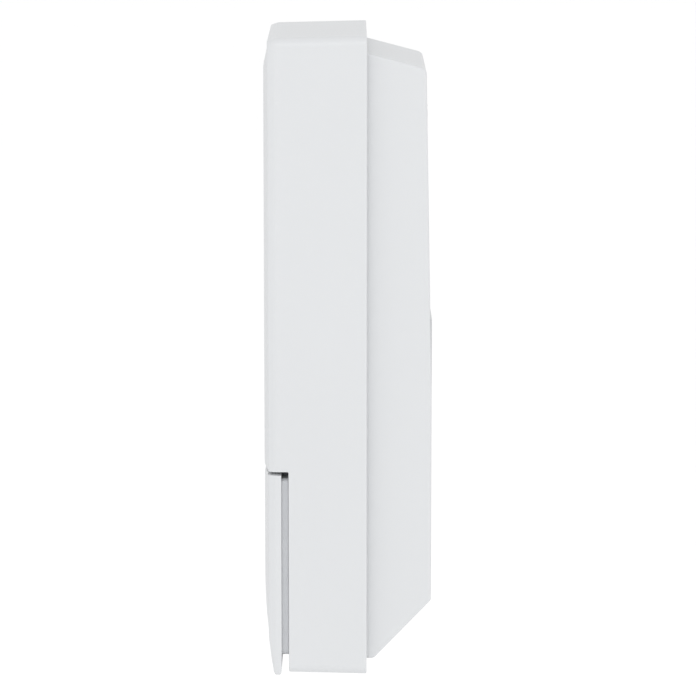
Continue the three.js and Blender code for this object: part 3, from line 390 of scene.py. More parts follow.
def gloss_black(name):
    """Polished dark panel: near mirror, with very faint wiping marks."""
    material, tree, shader, place = node_set(name)
    wipes = noise(tree, place, 60, 5, (1, 1, 0.25))
    dust = noise(tree, place, 1500, 2)
    tree.links.new(
        mix_colours(tree, wipes, (0.006, 0.0065, 0.008), (0.012, 0.0125, 0.015)),
        shader.inputs["Base Color"],
    )
    tree.links.new(ramp(tree, wipes, 0.05, 0.14), shader.inputs["Roughness"])
    bump(tree, shader, dust, 0.0006)
    shader.inputs["Specular IOR Level"].default_value = 0.3
    shader.inputs["Coat Weight"].default_value = 0.1
    shader.inputs["Coat Roughness"].default_value = 0.03
    return material


def foam(name, colour):
    material, tree, shader, place = node_set(name)
    cells = tree.nodes.new("ShaderNodeTexVoronoi")
    cells.inputs["Scale"].default_value = 2600
    tree.links.new(place, cells.inputs["Vector"])
    pores = cells.outputs["Distance"]
    # Painted shade: the pore hollows are painted darker, down to 0.4 of the foam's colour at their centres.
    tree.links.new(mix_colours(tree, pores, shade(colour, 0.4), colour), shader.inputs["Base Color"])
    tree.links.new(ramp(tree, pores, 0.98, 0.85), shader.inputs["Roughness"])
    bump(tree, shader, pores, 0.08)
    return material


def circuit(name, mask, copper):
    """Solder mask over copper tracks, with tinned pads where cells meet."""
    material, tree, shader, place = node_set(name)
    tracks = tree.nodes.new("ShaderNodeTexBrick")
    tracks.inputs["Scale"].default_value = 420
    tracks.inputs["Mortar Size"].default_value = 0.018
    tracks.inputs["Color1"].default_value = (1, 1, 1, 1)
    tracks.inputs["Color2"].default_value = (0.92, 0.92, 0.92, 1)
    tracks.inputs["Mortar"].default_value = (0, 0, 0, 1)
    turn = tree.nodes.new("ShaderNodeMapping")
    turn.inputs["Rotation"].default_value = (math.pi / 2, 0, 0)
    tree.links.new(place, turn.inputs["Vector"])
    tree.links.new(turn.outputs["Vector"], tracks.inputs["Vector"])
    pads = tree.nodes.new("ShaderNodeTexVoronoi")
    pads.inputs["Scale"].default_value = 520
    pads.inputs["Randomness"].default_value = 0.55
    tree.links.new(place, pads.inputs["Vector"])
    pad = ramp(tree, pads.outputs["Distance"], 1.0, 0.0, 0.16, 0.2)
    line = mix_colours(tree, tracks.outputs["Fac"], mask, shade(mask, 1.9))
    base = mix_colours(tree, pad, line, copper)
    tree.links.new(base, shader.inputs["Base Color"])
    tree.links.new(ramp(tree, pad, 0.42, 0.28), shader.inputs["Roughness"])
    tree.links.new(pad, shader.inputs["Metallic"])
    bump(tree, shader, tracks.outputs["Fac"], 0.02)
    return material


def ribbed(name, colour, rib_mm):
    """Milky lens plastic with fine level ribs on its inner face."""
    material, tree, shader, place = node_set(name)
    wave = tree.nodes.new("ShaderNodeTexWave")
    wave.bands_direction = "Z"
    wave.inputs["Scale"].default_value = 0.314 / (rib_mm * MM)
    tree.links.new(place, wave.inputs["Vector"])
    milk = noise(tree, place, 300, 3)
    tree.links.new(mix_colours(tree, milk, shade(colour, 0.95), colour), shader.inputs["Base Color"])
    tree.links.new(ramp(tree, milk, 0.28, 0.4), shader.inputs["Roughness"])
    bump(tree, shader, wave.outputs["Fac"], 0.12)
    shader.inputs["Subsurface Weight"].default_value = 0.35
    shader.inputs["Subsurface Radius"].default_value = (1.2 * MM, 1.2 * MM, 1.2 * MM)
    return material


WHITE = (0.573, 0.583, 0.594)
MATERIALS = {
    # On the white shell the lighter edge band is a painted highlight along the edge roundings.
    "white_plastic": moulded(
        "white_plastic", WHITE, 0.42, grain_depth=0.005, tint=0.012, edge_wear_and_painted_highlight=1.09, specular=0.25,
    ),
    "plate_plastic": moulded(
        "plate_plastic", (0.53, 0.54, 0.55), 0.55, grain_depth=0.01, tint=0.02, specular=0.3,
    ),
    "black_gloss": gloss_black("black_gloss"),
    "black_plastic": moulded(
        "black_plastic", (0.016, 0.016, 0.018), 0.5, grain_depth=0.01, edge_wear_and_painted_highlight=1.8, specular=0.25,
    ),
    "lens_glass": glass("lens_glass", (0.26, 0.32, 0.44)),
    "pir_plastic": ribbed("pir_plastic", (0.52, 0.53, 0.53), 0.95),
    "light_plastic": moulded(
        "light_plastic", (0.55, 0.56, 0.58), 0.5, grain_mm=0.2, grain_depth=0.008, tint=0.02,
        edge_wear_and_painted_highlight=1.05, subsurface=0.25,
    ),
    "silicone": moulded(
        "silicone", (0.05, 0.05, 0.055), 0.72, grain_mm=0.2, grain_depth=0.008, tint=0.1, edge_wear_and_painted_highlight=1.3,
    ),
    "foam": foam("foam", (0.05, 0.05, 0.052)),
    "board": circuit("board", (0.012, 0.085, 0.035), (0.75, 0.62, 0.38)),
    "flex": circuit("flex", (0.42, 0.16, 0.03), (0.8, 0.5, 0.2)),
    "chip": moulded(
        "chip", (0.02, 0.02, 0.022), 0.6, grain_mm=0.12, grain_depth=0.006, tint=0.15, edge_wear_and_painted_highlight=1.4,
    ),
    "steel": metal("steel", (0.62, 0.62, 0.61), 0.32),
    "tin": metal("tin", (0.72, 0.72, 0.71), 0.36, stretch=(1, 8, 1), scale=700),
    "led": moulded(
        "led", (0.86, 0.88, 0.9), 0.15, grain_mm=0.5, grain_depth=0.002, tint=0.03, edge_wear_and_painted_highlight=1.02,
        subsurface=0.3, coat=0.5,
    ),
    "battery_wrap": moulded(
        "battery_wrap", (0.03, 0.11, 0.32), 0.3, grain_mm=2.4, grain_depth=0.05, tint=0.12,
        edge_wear_and_painted_highlight=1.3, coat=0.5,
    ),
    "terminal": moulded(
        "terminal", (0.03, 0.13, 0.07), 0.5, grain_mm=0.2, grain_depth=0.01, tint=0.08, edge_wear_and_painted_highlight=1.3,
    ),
    "wire_red": moulded(
        "wire_red", (0.42, 0.02, 0.015), 0.5, grain_mm=0.3, grain_depth=0.008, tint=0.08, edge_wear_and_painted_highlight=1.1,
    ),
    "wire_black": moulded(
        "wire_black", (0.015, 0.015, 0.017), 0.5, grain_mm=0.3, grain_depth=0.008, tint=0.1, edge_wear_and_painted_highlight=1.3,
    ),
}
SLOT_OF = {part["node"]: part["material_slot"] for part in frame["record"]["subparts"]}


def dress_cad_nodes():
    """Gives every carried-over CAD node the material of its slot."""
    for node, obj in frame["nodes"].items():
        material = MATERIALS[SLOT_OF[node]]
        obj.data.materials.clear()
        obj.data.materials.append(material)


# ---- Front shell ----

def corner_radius(inset):
    if inset <= BEVEL_START:
        return CORNER_R + (BEVEL_CORNER_R - CORNER_R) * inset / BEVEL_START
    return BEVEL_CORNER_R + 0.6 * min(1.0, (inset - BEVEL_START) / (BEVEL_END - BEVEL_START))


def housing_ring(inset, y):
    drop = DRAFT * (SPLIT_Y - y) / (SPLIT_Y - FRONT_Y - BEVEL_DEPTH)
    outline = rounded_rect(HALF_W - inset, HALF_H - inset - drop, corner_radius(inset))
    return [(x, y, z) for x, z in outline]


def window_outline(inset):
    half_w = (WINDOW_HIGH.x - WINDOW_LOW.x) / 2 + WINDOW_GAP - inset
    half_h = (WINDOW_HIGH.z - WINDOW_LOW.z) / 2 + WINDOW_GAP - inset
    return rounded_rect(half_w, half_h, WINDOW_R - inset, 0, WINDOW_Z, 16)


def bay_tool():
    """The room of the bell plate, under a rounded lip."""
    out = FRONT_Y - 5
    low = -HALF_H - 5
    lip = [
        (FRONT_Y + BAY_LIP_R - BAY_LIP_R * math.sin(a), BAY_Z + BAY_LIP_R - BAY_LIP_R * math.cos(a))
        for a in (math.pi / 2 * i / 8 for i in range(9))
    ]
    outline = [(out, low), (BAY_Y, low), (BAY_Y, BAY_Z)] + lip + [(out, BAY_Z + BAY_LIP_R)]
    return prism(outline, "x", -HALF_W - 5, HALF_W + 5)


def mirrored(x):
    return (-x, x)


POSTS = [(x, z) for z in (53.0, -49.5) for x in mirrored(14.8)]
POST_BORE_R, POST_HOLE_R = 2.5, 1.5
BOSS_R, BOSS_BORE_R, BOSS_REAR = 2.5, 1.45, -17.5
BOARD_BOSS_R, BOARD_BOSS_X, BOARD_BOSS_Z = 2.2, 17.5, (30, -19)
GUIDE_LEG_X, GUIDE_LEG_HALF, GUIDE_LEG_Z = 19.7, (0.8, 2.0), (-31.0, -54.0)
CLIP_X, CLIP_HALF, CLIP_Z = 15.0, (1.1, 1.4), (-33.0, -58.0)
LEG_GAP = 0.25
CLIP_GAP = 0.3
BELL_BOSS_R, BELL_BOSS_HOLE_R = 3.5, 4.3
BELL_BOSS_REAR = FRONT_Y + 7.8
MIC_R = 0.6
SPEAKER_SLOTS, SPEAKER_PITCH = range(-3, 4), 3
SPEAKER_SLOT_HALF, SPEAKER_SLOT_R = (0.7, 3.4), 0.69


def rim_profile(start, end_inset):
    """(inset, y) from the side face round the rim and over the shallow bevel to the flat front."""
    rim_y = FRONT_Y + BEVEL_DEPTH
    points = start + [
        (0, rim_y + RIM_RUN), (RIM_INSET, rim_y), (BEVEL_START, rim_y), (BEVEL_END, FRONT_Y),
        (end_inset, FRONT_Y),
    ]
    return points, [3.0, 0.5, 1.6, 9.0]


def post_at(x, z, half, low, high):
    """A rectangular leg or hole along Y, centred on (x, z)."""
    half_x, half_z = half
    return block(x - half_x, x + half_x, low, high, z - half_z, z + half_z)


def grown(half, gap):
    return tuple(side + gap for side in half)


INNER_W, INNER_H = HALF_W - WALL, HALF_H - WALL
INNER_FRONT, BAY_INNER, BAY_ROOF = FRONT_Y + WALL, BAY_Y + WALL, BAY_Z + WALL
WINDOW_FLOOR, LEDGE_REAR = FRONT_Y + 1.6, FRONT_Y + 3.4


def front_ribs():
    """The frame behind the window and the bosses for the housing and board screws."""
    ribs = [prism(window_outline(-1), "y", WINDOW_FLOOR, LEDGE_REAR)]
    for x, z in POSTS:
        wall_at = INNER_FRONT if z > BAY_Z else BAY_INNER
        ribs.append(rod_y(BOSS_R, wall_at - 0.2, BOSS_REAR, x, z, 24))
    for x in mirrored(BOARD_BOSS_X):
        for z in BOARD_BOSS_Z:
            ribs.append(rod_y(BOARD_BOSS_R, INNER_FRONT - 0.2, BOARD_LOW.y - 0.3, x, z, 24))
    return ribs


def front_holes():
    """Window, microphone, bell, leg and speaker openings, then the screw bores."""
    before, behind = BAY_Y - 1, BAY_INNER + 1
    tools = [
        prism(window_outline(0), "y", FRONT_Y - 1, WINDOW_FLOOR),
        prism(window_outline(WINDOW_LEDGE), "y", FRONT_Y - 1, LEDGE_REAR + 1),
        rod_y(MIC_R, FRONT_Y - 1, INNER_FRONT + 1, 0, MIC_Z, 20),
        rod_y(BELL_BOSS_HOLE_R, before, behind, 0, PRESS_Z, 40),
    ]
    leg, clip = grown(GUIDE_LEG_HALF, LEG_GAP), grown(CLIP_HALF, CLIP_GAP)
    for side in (-1, 1):
        tools += [post_at(side * GUIDE_LEG_X, z, leg, before, behind) for z in GUIDE_LEG_Z]
        tools += [post_at(side * CLIP_X, z, clip, before, behind) for z in CLIP_Z]
    for i in SPEAKER_SLOTS:
        slot = rounded_rect(*SPEAKER_SLOT_HALF, SPEAKER_SLOT_R, i * SPEAKER_PITCH, SPEAKER_Y, 6)
        tools.append(prism(slot, "z", -HALF_H - 1, -INNER_H + 1))
    return tools + [rod_y(BOSS_BORE_R, BOSS_REAR - 9, BOSS_REAR + 1.5, x, z, 24) for x, z in POSTS]


def front_shell():
    points, radii = rim_profile([(1.2, SPLIT_Y), (0, SPLIT_Y)], 7.5)
    path = round_path(points, [0.3] + radii)
    shell = loft("front", [housing_ring(inset, y) for inset, y in path])
    combine(shell, [
        block(-INNER_W, INNER_W, INNER_FRONT, SPLIT_Y + 1, BAY_ROOF, INNER_H),
        block(-INNER_W, INNER_W, BAY_INNER, SPLIT_Y + 1, -INNER_H, BAY_ROOF + 0.5),
        bay_tool(),
    ], "DIFFERENCE")
    combine(shell, front_ribs(), "UNION")
    combine(shell, front_holes(), "DIFFERENCE")
    soften(shell, 0.22)
    finish_piece(shell, "front_shell", "unit", "white_plastic", "front_housing")


# ---- Bell plate ----

BELL_TOP_R = 0.9
TAPER_Z, TAPER_RUN, TAPER_FALL = -46.0, 21.6, 1.9  # the plate thins towards its lower tip
TIP_Z, TIP_R = -67.7, 1.3
BELL_RIM = 0.95  # side wall of the hollow behind the plate
BARB, BARB_THICK, CLIP_TIP = 0.4, 0.8, -27.5
STRIP_SIDE, STRIP_END = 3, 2  # widths of the light strip along the sides and across the ends


def bell_front_at(z):
    """Foremost Y of the bell plate at a height: rounded top edge, flat field, then a long taper."""
    below_top = BELL_HIGH.z - z
    if below_top < BELL_TOP_R:
        return FRONT_Y + BELL_TOP_R - math.sqrt(BELL_TOP_R ** 2 - (BELL_TOP_R - below_top) ** 2)
    fall = max(0.0, (TAPER_Z - z) / TAPER_RUN)
    return FRONT_Y + TAPER_FALL * fall ** 1.9


def bell_stations():
    """Heights of the bell plate's rings from the top edge to just above the tip."""
    head = [BELL_HIGH.z - BELL_TOP_R * (1 - math.cos(math.pi / 2 * i / 8)) for i in range(9)]
    field = [-27.6, -30, -36, -42, TAPER_Z]
    return head + field + [TAPER_Z - TAPER_RUN * i / 18 for i in range(1, 19)]


def bell_ring(z, front, rear, side):
    """One level section: the across profile, held back by the side profile where the plate thins."""
    half_w = BELL_HIGH.x - side
    points, radii = rim_profile([(0, rear)], half_w)
    ring = []
    for inset, y in round_path(points, radii):
        ring.append((half_w - inset, min(rear, soft_max(y, front)), z))
    return ring + [(-x, y, z) for x, y, z in reversed(ring[:-1])]


def soft_max(a, b, blend=0.25):
    gap = max(0.0, blend - abs(a - b))
    return max(a, b) + gap * gap / (4 * blend)


def bell_tip():
    """Rings that round off the lower tip of the bell plate."""
    tip_front = bell_front_at(TAPER_Z - TAPER_RUN)
    rings = []
    for i in range(1, 9):
        turn = math.pi / 2 * i / 8
        inward = 0.75 * (1 - math.cos(turn))
        side = inward * 0.6
        rings.append(bell_ring(TIP_Z - TIP_R * math.sin(turn), tip_front + inward, PLATE_REAR - side, side))
    return rings


def bell_clip(x, z):
    """A leg that passes through the front shell, and its barb."""
    half_x, half_z = CLIP_HALF
    outward = BARB if z > PRESS_Z else -BARB
    return [
        post_at(x, z, CLIP_HALF, PLATE_POCKET - 0.3, CLIP_TIP),
        post_at(x, z + outward, (half_x, half_z + BARB), CLIP_TIP - BARB_THICK, CLIP_TIP),
    ]


def bell_cover():
    rings = [bell_ring(z, bell_front_at(z), PLATE_REAR, 0) for z in bell_stations()]
    plate = loft("bell", rings + bell_tip())
    room_w = BELL_HIGH.x - BELL_RIM
    combine(plate, [
        block(-room_w, room_w, PLATE_POCKET, BAY_Y, GUIDE_LOW.z - 0.6, BELL_HIGH.z - PLATE_ROOF),
    ], "DIFFERENCE")
    ribs = [rod_y(BELL_BOSS_R, PLATE_POCKET - 0.3, BELL_BOSS_REAR, 0, PRESS_Z, 40)]
    for side in (-1, 1):
        for z in CLIP_Z:
            ribs += bell_clip(side * CLIP_X, z)
    combine(plate, ribs, "UNION")
    soften(plate, 0.12, 2)
    finish_piece(plate, "bell_cover", "bell_plate", "white_plastic", "bell_plate")


def light_strip():
    """Frosted frame between the bell plate and the housing, with its four light legs."""
    half_w = GUIDE_HIGH.x
    mid_z = (GUIDE_LOW.z + GUIDE_HIGH.z) / 2
    half_h = (GUIDE_HIGH.z - GUIDE_LOW.z) / 2
    rear = BAY_Y - 0.03
    strip = prism(rounded_rect(half_w, half_h, 1.0, 0, mid_z), "y", GUIDE_LOW.y, rear, "strip")
    combine(strip, [
        prism(
            rounded_rect(half_w - STRIP_SIDE, half_h - STRIP_END, 0.6, 0, mid_z),
            "y", GUIDE_LOW.y - 1, rear + 1,
        ),
    ], "DIFFERENCE")
    combine(strip, [
        post_at(x, z, GUIDE_LEG_HALF, rear - 0.3, GUIDE_HIGH.y)
        for x in mirrored(GUIDE_LEG_X) for z in GUIDE_LEG_Z
    ], "UNION")
    tidy_mesh(strip)
    soften(strip, 0.15)
    finish_piece(strip, "light_strip", "unit", "light_plastic", "light_guide")


# ---- Rear shell ----

FLANGE_FRONT, FLANGE_REAR = -17.2, -14.2
GROOVE_FRONT, GROOVE_REAR, GROOVE_HALF = -16.4, -15.0, (19.5, 65.5)  # for the seal
LIP, LIP_FRONT = 0.22, -14.8  # closes the seam between the two shells
REAR_HALF_W = 20.4
REAR_TOP, REAR_TOP_BACK, REAR_BOTTOM = 65.3, 62.0, -65.9
BACK_TOP_Y, BACK_BOTTOM_Y, KNEE_Z = -1.4, -0.1, -8.0
CHAMFER_Z, CHAMFER_Y = -53.0, -12.45
RECESS_FLOOR, RECESS_TOP, RECESS_BOTTOM, RECESS_HALF_W = -5.0, 59.6, -51.2, 17.2
REAR_WALL_INNER = -7.0
STOCK_FRONT, STOCK_HALF_W = -12.8, 7.5  # solid stock round the lug pocket and the security screw
PIVOT_Y, PIVOT_Z, PIVOT_R, PIVOT_HALF = -3.0, 57.0, 1.5, 11.0
CHEEK_REAR, CHEEK_LOW = -1.9, 54.8
POST_R, POST_SEAT_Y = 3.5, -13
HOOK_STOCK_FRONT, HOOK_STOCK_Z = -8.1, (51, 61.2)
HOOK_POCKET_HALF_W, HOOK_POCKET_FRONT, HOOK_POCKET_LOW = 10, -6.5, 52
LUG_STOCK_Z = (-57.6, -44)
LUG_POCKET_HALF_W, LUG_POCKET_FRONT, LUG_POCKET_TOP = 6, -11, -45.6
SECURITY_Y, SECURITY_SEAT_Z = -7.0, -56.5
SECURITY_STOCK_REAR, SECURITY_STOCK_LOW = -3, -62.5
SECURITY_BORE_R, SECURITY_HEAD_R = 1.7, 3.1
FLOOR_CUT = (-8, -4)  # Y from in front of the recess floor to behind it
TERMINAL_HALF_W, TERMINAL_Z = 9.4, (34.8, 43.6)
PORT_Z = 30  # height of the USB and reset openings
USB_HALF, USB_R, USB_X = (4.8, 1.9), 1.6, 4.6
RESET_R, RESET_X = 2.1, -6.5
TAMPER_R, TAMPER_Z = 1.4, 47.6


def rear_top_at(y):
    return REAR_TOP - (REAR_TOP - REAR_TOP_BACK) * (y - SPLIT_Y) / (BACK_TOP_Y - SPLIT_Y)


def rear_body():
    front = FLANGE_REAR - 0.3
    outline = round_path(
        [
            (front, REAR_BOTTOM), (CHAMFER_Y, REAR_BOTTOM), (BACK_BOTTOM_Y, CHAMFER_Z),
            (BACK_BOTTOM_Y, KNEE_Z), (BACK_TOP_Y, REAR_TOP_BACK), (front, rear_top_at(front)),
        ],
        [1.2, 1.0, 40.0, 1.6],
    )
    body = prism(outline, "x", -REAR_HALF_W, REAR_HALF_W, "rear")
    soften(body, 0.6, 4, 60)
    apply_modifiers(body)
    return body


def rear_room():
    inner_w = REAR_HALF_W - WALL
    outline = [
        (FLANGE_FRONT - 1, REAR_TOP - WALL), (FLANGE_FRONT - 1, REAR_BOTTOM + WALL),
        (CHAMFER_Y - 0.8, REAR_BOTTOM + WALL), (REAR_WALL_INNER, -57.2),
        (REAR_WALL_INNER, rear_top_at(REAR_WALL_INNER) - WALL - 0.2), (SPLIT_Y, REAR_TOP - WALL),
    ]
    return prism(outline, "x", -inner_w, inner_w)


def seal_groove():
    groove = prism(
        rounded_rect(REAR_HIGH.x + 1, REAR_HIGH.z + 1, 1.0), "y", GROOVE_FRONT, GROOVE_REAR,
    )
    inside = prism(rounded_rect(*GROOVE_HALF, 0.6), "y", GROOVE_FRONT - 0.6, GROOVE_REAR + 0.5)
    return combine(groove, [inside], "DIFFERENCE")


def mount_recess():
    mid = (RECESS_TOP + RECESS_BOTTOM) / 2
    half_h = (RECESS_TOP - RECESS_BOTTOM) / 2
    return prism(rounded_rect(RECESS_HALF_W, half_h, 1.5, 0, mid), "y", RECESS_FLOOR, 2)


def security_block():
    """Solid stock behind the bottom chamfer, which carries the security screw."""
    piece = block(
        -STOCK_HALF_W, STOCK_HALF_W, STOCK_FRONT, SECURITY_STOCK_REAR, SECURITY_STOCK_LOW,
        RECESS_BOTTOM,
    )
    return combine(piece, [rear_body()], "INTERSECT")


def rear_stock():
    """Solid stock behind the hook pockets and round the lug pocket, and the screw posts."""
    inner = REAR_WALL_INNER + 0.2
    blocks = [
        block(-PIVOT_HALF - 1, PIVOT_HALF + 1, HOOK_STOCK_FRONT, inner, *HOOK_STOCK_Z),
        block(-STOCK_HALF_W, STOCK_HALF_W, STOCK_FRONT, inner, *LUG_STOCK_Z),
        security_block(),
    ]
    rear = REAR_WALL_INNER + 0.5
    return blocks + [rod_y(POST_R, FLANGE_FRONT, rear, x, z, 28) for x, z in POSTS]


def rear_holes():
    """Lug and hook pockets, the openings in the recess floor and the screw holes."""
    lug_w, hook_w = LUG_POCKET_HALF_W, HOOK_POCKET_HALF_W
    below, above = -70, -50  # past both ends of the security screw
    tools = [
        block(-lug_w, lug_w, LUG_POCKET_FRONT, 0, RECESS_BOTTOM, LUG_POCKET_TOP),
        block(-hook_w, hook_w, HOOK_POCKET_FRONT, RECESS_FLOOR + 1, HOOK_POCKET_LOW, RECESS_TOP),
        block(-TERMINAL_HALF_W, TERMINAL_HALF_W, *FLOOR_CUT, *TERMINAL_Z),
        prism(rounded_rect(*USB_HALF, USB_R, USB_X, PORT_Z), "y", *FLOOR_CUT),
        rod_y(RESET_R, *FLOOR_CUT, RESET_X, PORT_Z),
        rod_y(TAMPER_R, *FLOOR_CUT, 0, TAMPER_Z),
        prism(circle(SECURITY_BORE_R, 0, SECURITY_Y, 24), "z", below, above),
        prism(circle(SECURITY_HEAD_R, 0, SECURITY_Y, 36), "z", below, SECURITY_SEAT_Z),
    ]
    for x, z in POSTS:
        tools.append(rod_y(POST_BORE_R, POST_SEAT_Y, 0, x, z, 32))
        tools.append(rod_y(POST_HOLE_R, FLANGE_FRONT - 1, 0, x, z, 24))
    return tools


def pivot_bar():
    """The bar that the wall plate's hooks hold, with a cheek at each end."""
    bar = prism(circle(PIVOT_R, PIVOT_Y, PIVOT_Z), "x", -PIVOT_HALF, PIVOT_HALF)
    near, far = PIVOT_HALF - 0.4, PIVOT_HALF + 1
    front, high = RECESS_FLOOR - 0.3, RECESS_TOP + 0.4
    cheeks = [
        block(x0, x1, front, CHEEK_REAR, CHEEK_LOW, high) for x0, x1 in ((-far, -near), (near, far))
    ]
    return [bar] + cheeks


def rear_shell():
    shell = rear_body()
    flange_w, flange_h = REAR_HIGH.x, REAR_HIGH.z
    combine(shell, [
        prism(rounded_rect(flange_w, flange_h, 0.8), "y", FLANGE_FRONT, FLANGE_REAR),
        prism(rounded_rect(flange_w + LIP, flange_h + LIP, 0.9), "y", LIP_FRONT, SPLIT_Y - 0.02),
    ], "UNION")
    combine(shell, [rear_room(), seal_groove(), mount_recess()], "DIFFERENCE")
    combine(shell, rear_stock(), "UNION")
    combine(shell, rear_holes(), "DIFFERENCE")
    combine(shell, pivot_bar(), "UNION")
    tidy_mesh(shell)
    soften(shell, 0.2)
    finish_piece(shell, "rear_shell", "unit", "white_plastic", "rear_housing")


# ---- Camera window and optics ----

LENS_HOLE_R = 7.2
LIGHT_SENSOR_Z, LIGHT_SENSOR_HOLE_R = 36.9, 0.5
PIR_HALF_W, PIR_HALF_H = 7.0, 3.8


def window_panel():
    front, rear = WINDOW_LOW.y, WINDOW_HIGH.y
    rings = []
    for inset, y in round_path([(2, front), (0, front), (0, rear)], [0.35], 6):
        rings.append([(x, y, z) for x, z in window_outline(WINDOW_GAP + inset)])
    panel = loft("window", rings)
    combine(panel, [
        rod_y(LENS_HOLE_R, front - 1, rear + 1, 0, LENS_Z, 72),
        rod_y(LIGHT_SENSOR_HOLE_R, front - 1, rear + 1, 0, LIGHT_SENSOR_Z, 20),
        prism(
            rounded_rect(PIR_HALF_W + 0.2, PIR_HALF_H + 0.2, 2.2, 0, PIR_Z, 12),
            "y", front - 1, rear + 1,
        ),
    ], "DIFFERENCE")
    tidy_mesh(panel)
    soften(panel, 0.12)
    finish_piece(panel, "window_panel", "unit", "black_gloss", "camera_window")


def arc(steps):
    """Angles over a quarter turn."""
    return [math.pi / 2 * i / steps for i in range(steps + 1)]


def lens_profile():
    """(radius, y) round the wall of the lens tube, with a stepped light trap inside."""
    front, rear = LENS_LOW.y, LENS_HIGH.y
    profile = [
        (5.7, front), (6.4, front), (6.7, front + 0.12), (6.8, front + 0.4), (6.8, front + 2.1),
        (6.0, front + 2.5), (6.0, rear), (3.2, rear), (3.2, front + 9.2),
    ]
    for i in range(5):
        r, y = 3.4 + 0.28 * i, front + 9.0 - i
        profile += [(r, y), (r, y - 0.55)]
    return profile + [(5.55, front + 2.6), (5.7, front + 1.9)]


def lens_tube():
    rings = [[(x, y, z) for x, z in circle(r, 0, LENS_Z, 72)] for r, y in lens_profile()]
    count = len(rings[0])
    faces = []
    for k in range(len(rings)):
        here, there = k * count, (k + 1) % len(rings) * count
        for i in range(count):
            j = (i + 1) % count
            faces.append((here + i, here + j, there + j, there + i))
    tube = mesh_object("lens_tube", [p for ring in rings for p in ring], faces)
    soften(tube, 0.08, 2, 30)
    finish_piece(tube, "lens_tube", "unit", "black_plastic", "lens_barrel")


def lens_dome():
    """The front glass: a shallow dome, with a hollow rear face."""
    front, rear, r = GLASS_LOW.y, GLASS_HIGH.y, 5.4
    profile = [(r * math.sin(a), front + 7.5 * (1 - math.cos(a * 0.62))) for a in arc(16)]
    profile += [(r, rear - 0.6), (4.9, rear), (4.4, rear - 0.25)]
    profile += [
        (4.4 * (1 - i / 8), rear - 0.25 - 0.9 * math.sin(math.pi / 2 * i / 8)) for i in range(1, 9)
    ]
    dome = turned("lens_dome", profile, 0, LENS_Z, 72)
    soften(dome, 0.02, 1, 60)
    finish_piece(dome, "lens_dome", "unit", "lens_glass", "lens_glass")


def inner_lens():
    """A second lens element inside the tube."""
    front, r = GLASS_HIGH.y + 1.6, 3.6
    rear = front + 2.2
    profile = [(r * math.sin(a), front + 1.6 * (1 - math.cos(a))) for a in arc(12)]
    element = turned("inner_lens", profile + [(r, rear), (0.0, rear)], 0, LENS_Z, 56)
    soften(element, 0.02, 1, 60)
    finish_piece(element, "inner_lens", "unit", "lens_glass")


def pir_dome():
    """Milky motion sensor lens: a pillow with level ribs, on a flat flange."""
    front = PIR_LOW.y
    rings = []
    for inset, y in ((1.9, 0.0), (1.2, 0.08), (0.6, 0.25), (0.2, 0.5), (0.0, 0.85), (0.0, 1.35)):
        r = max(0.7, 2.0 - inset * 0.4)
        outline = rounded_rect(PIR_HALF_W - inset, PIR_HALF_H - inset, r, 0, PIR_Z, 8)
        rings.append([(x, front + y, z) for x, z in outline])
    dome = loft("pir", rings)
    flange_outline = rounded_rect(PIR_HALF_W + 1.5, PIR_HALF_H + 0.9, 1.5, 0, PIR_Z)
    flange = prism(flange_outline, "y", front + 1.15, PIR_HIGH.y)
    combine(dome, [flange], "UNION")
    tidy_mesh(dome)
    soften(dome, 0.1, 2, 50)
    finish_piece(dome, "pir_dome", "unit", "pir_plastic", "pir_lens")


# ---- Screws ----

def star(r_out, r_in, cx, cy, lobes=6, steps=48):
    points = []
    for i in range(steps):
        a = 2 * math.pi * i / steps
        r = (r_out + r_in) / 2 + (r_out - r_in) / 2 * math.cos(lobes * a)
        points.append((cx + r * math.cos(a), cy + r * math.sin(a)))
    return points


def screw_profile(top, tip, head_r):
    """(radius, position) from the middle of the head to the tip, with ring threads."""
    sign = 1 if top > tip else -1
    length = abs(top - tip)
    head_h, shank_r = head_r * 0.7, head_r * 0.5
    root_r = shank_r * 0.86
    profile = [(0, top)]
    profile += [
        (head_r * (0.72 + 0.28 * math.sin(a)), top - sign * head_h * 0.42 * (1 - math.cos(a)))
        for a in arc(6)
    ]
    profile += [(head_r, top - sign * head_h * 0.92), (head_r * 0.96, top - sign * head_h)]
    profile += [(root_r, top - sign * head_h)]
    thread = length - head_h - shank_r
    turns = max(3, int(thread / 0.55))
    pitch = thread / turns
    for k in range(turns):
        at = top - sign * (head_h + pitch * (k + 0.1))
        profile += [
            (root_r, at), (shank_r, at - sign * pitch * 0.4), (root_r, at - sign * pitch * 0.8),
        ]
    return profile + [(shank_r * 0.7, top - sign * (length - shank_r * 0.7)), (0, tip)]


def fine_screw(node, axis, head_up, body="unit"):
    """A screw with a rounded head, a six-lobed socket and ring threads, in a CAD screw's box."""
    low, high = corners_mm(node)
    index = {"y": 1, "z": 2}[axis]
    across = {"y": (0, 2), "z": (0, 1)}[axis]
    cx, cy = ((low[i] + high[i]) / 2 for i in across)
    head_r = (high[across[1]] - low[across[1]]) / 2
    top, tip = (high[index], low[index]) if head_up else (low[index], high[index])
    sign = 1 if head_up else -1
    obj = turned(node + "_fine", screw_profile(top, tip, head_r), cx, cy, 36, axis)
    floor_at = top - sign * head_r * 0.434
    socket = prism(star(head_r * 0.5, head_r * 0.36, cx, cy), axis, *sorted((floor_at, top + sign)))
    combine(obj, [socket], "DIFFERENCE")
    soften(obj, 0.04, 2, 50)
    finish_piece(obj, node + "_fine", body, "steel", node)


# ---- Light, floor and camera ----

WORLD_LIGHT = 1.03
FLOOR_SIZE, FLOOR_DROP = 14.0, 0.26
LAMPS = (  # name, place in metres, size in metres, watts
    ("key", (1.25, -0.35, 0.1), 0.7, 0.8),
    ("edge", (0.9, 1.0, 0.1), 0.5, 1.6),
    ("top", (0.95, -0.1, 0.68), 0.3, 2.6),
    ("front", (-0.6, -1.2, 0.3), 0.8, 1.2),
)


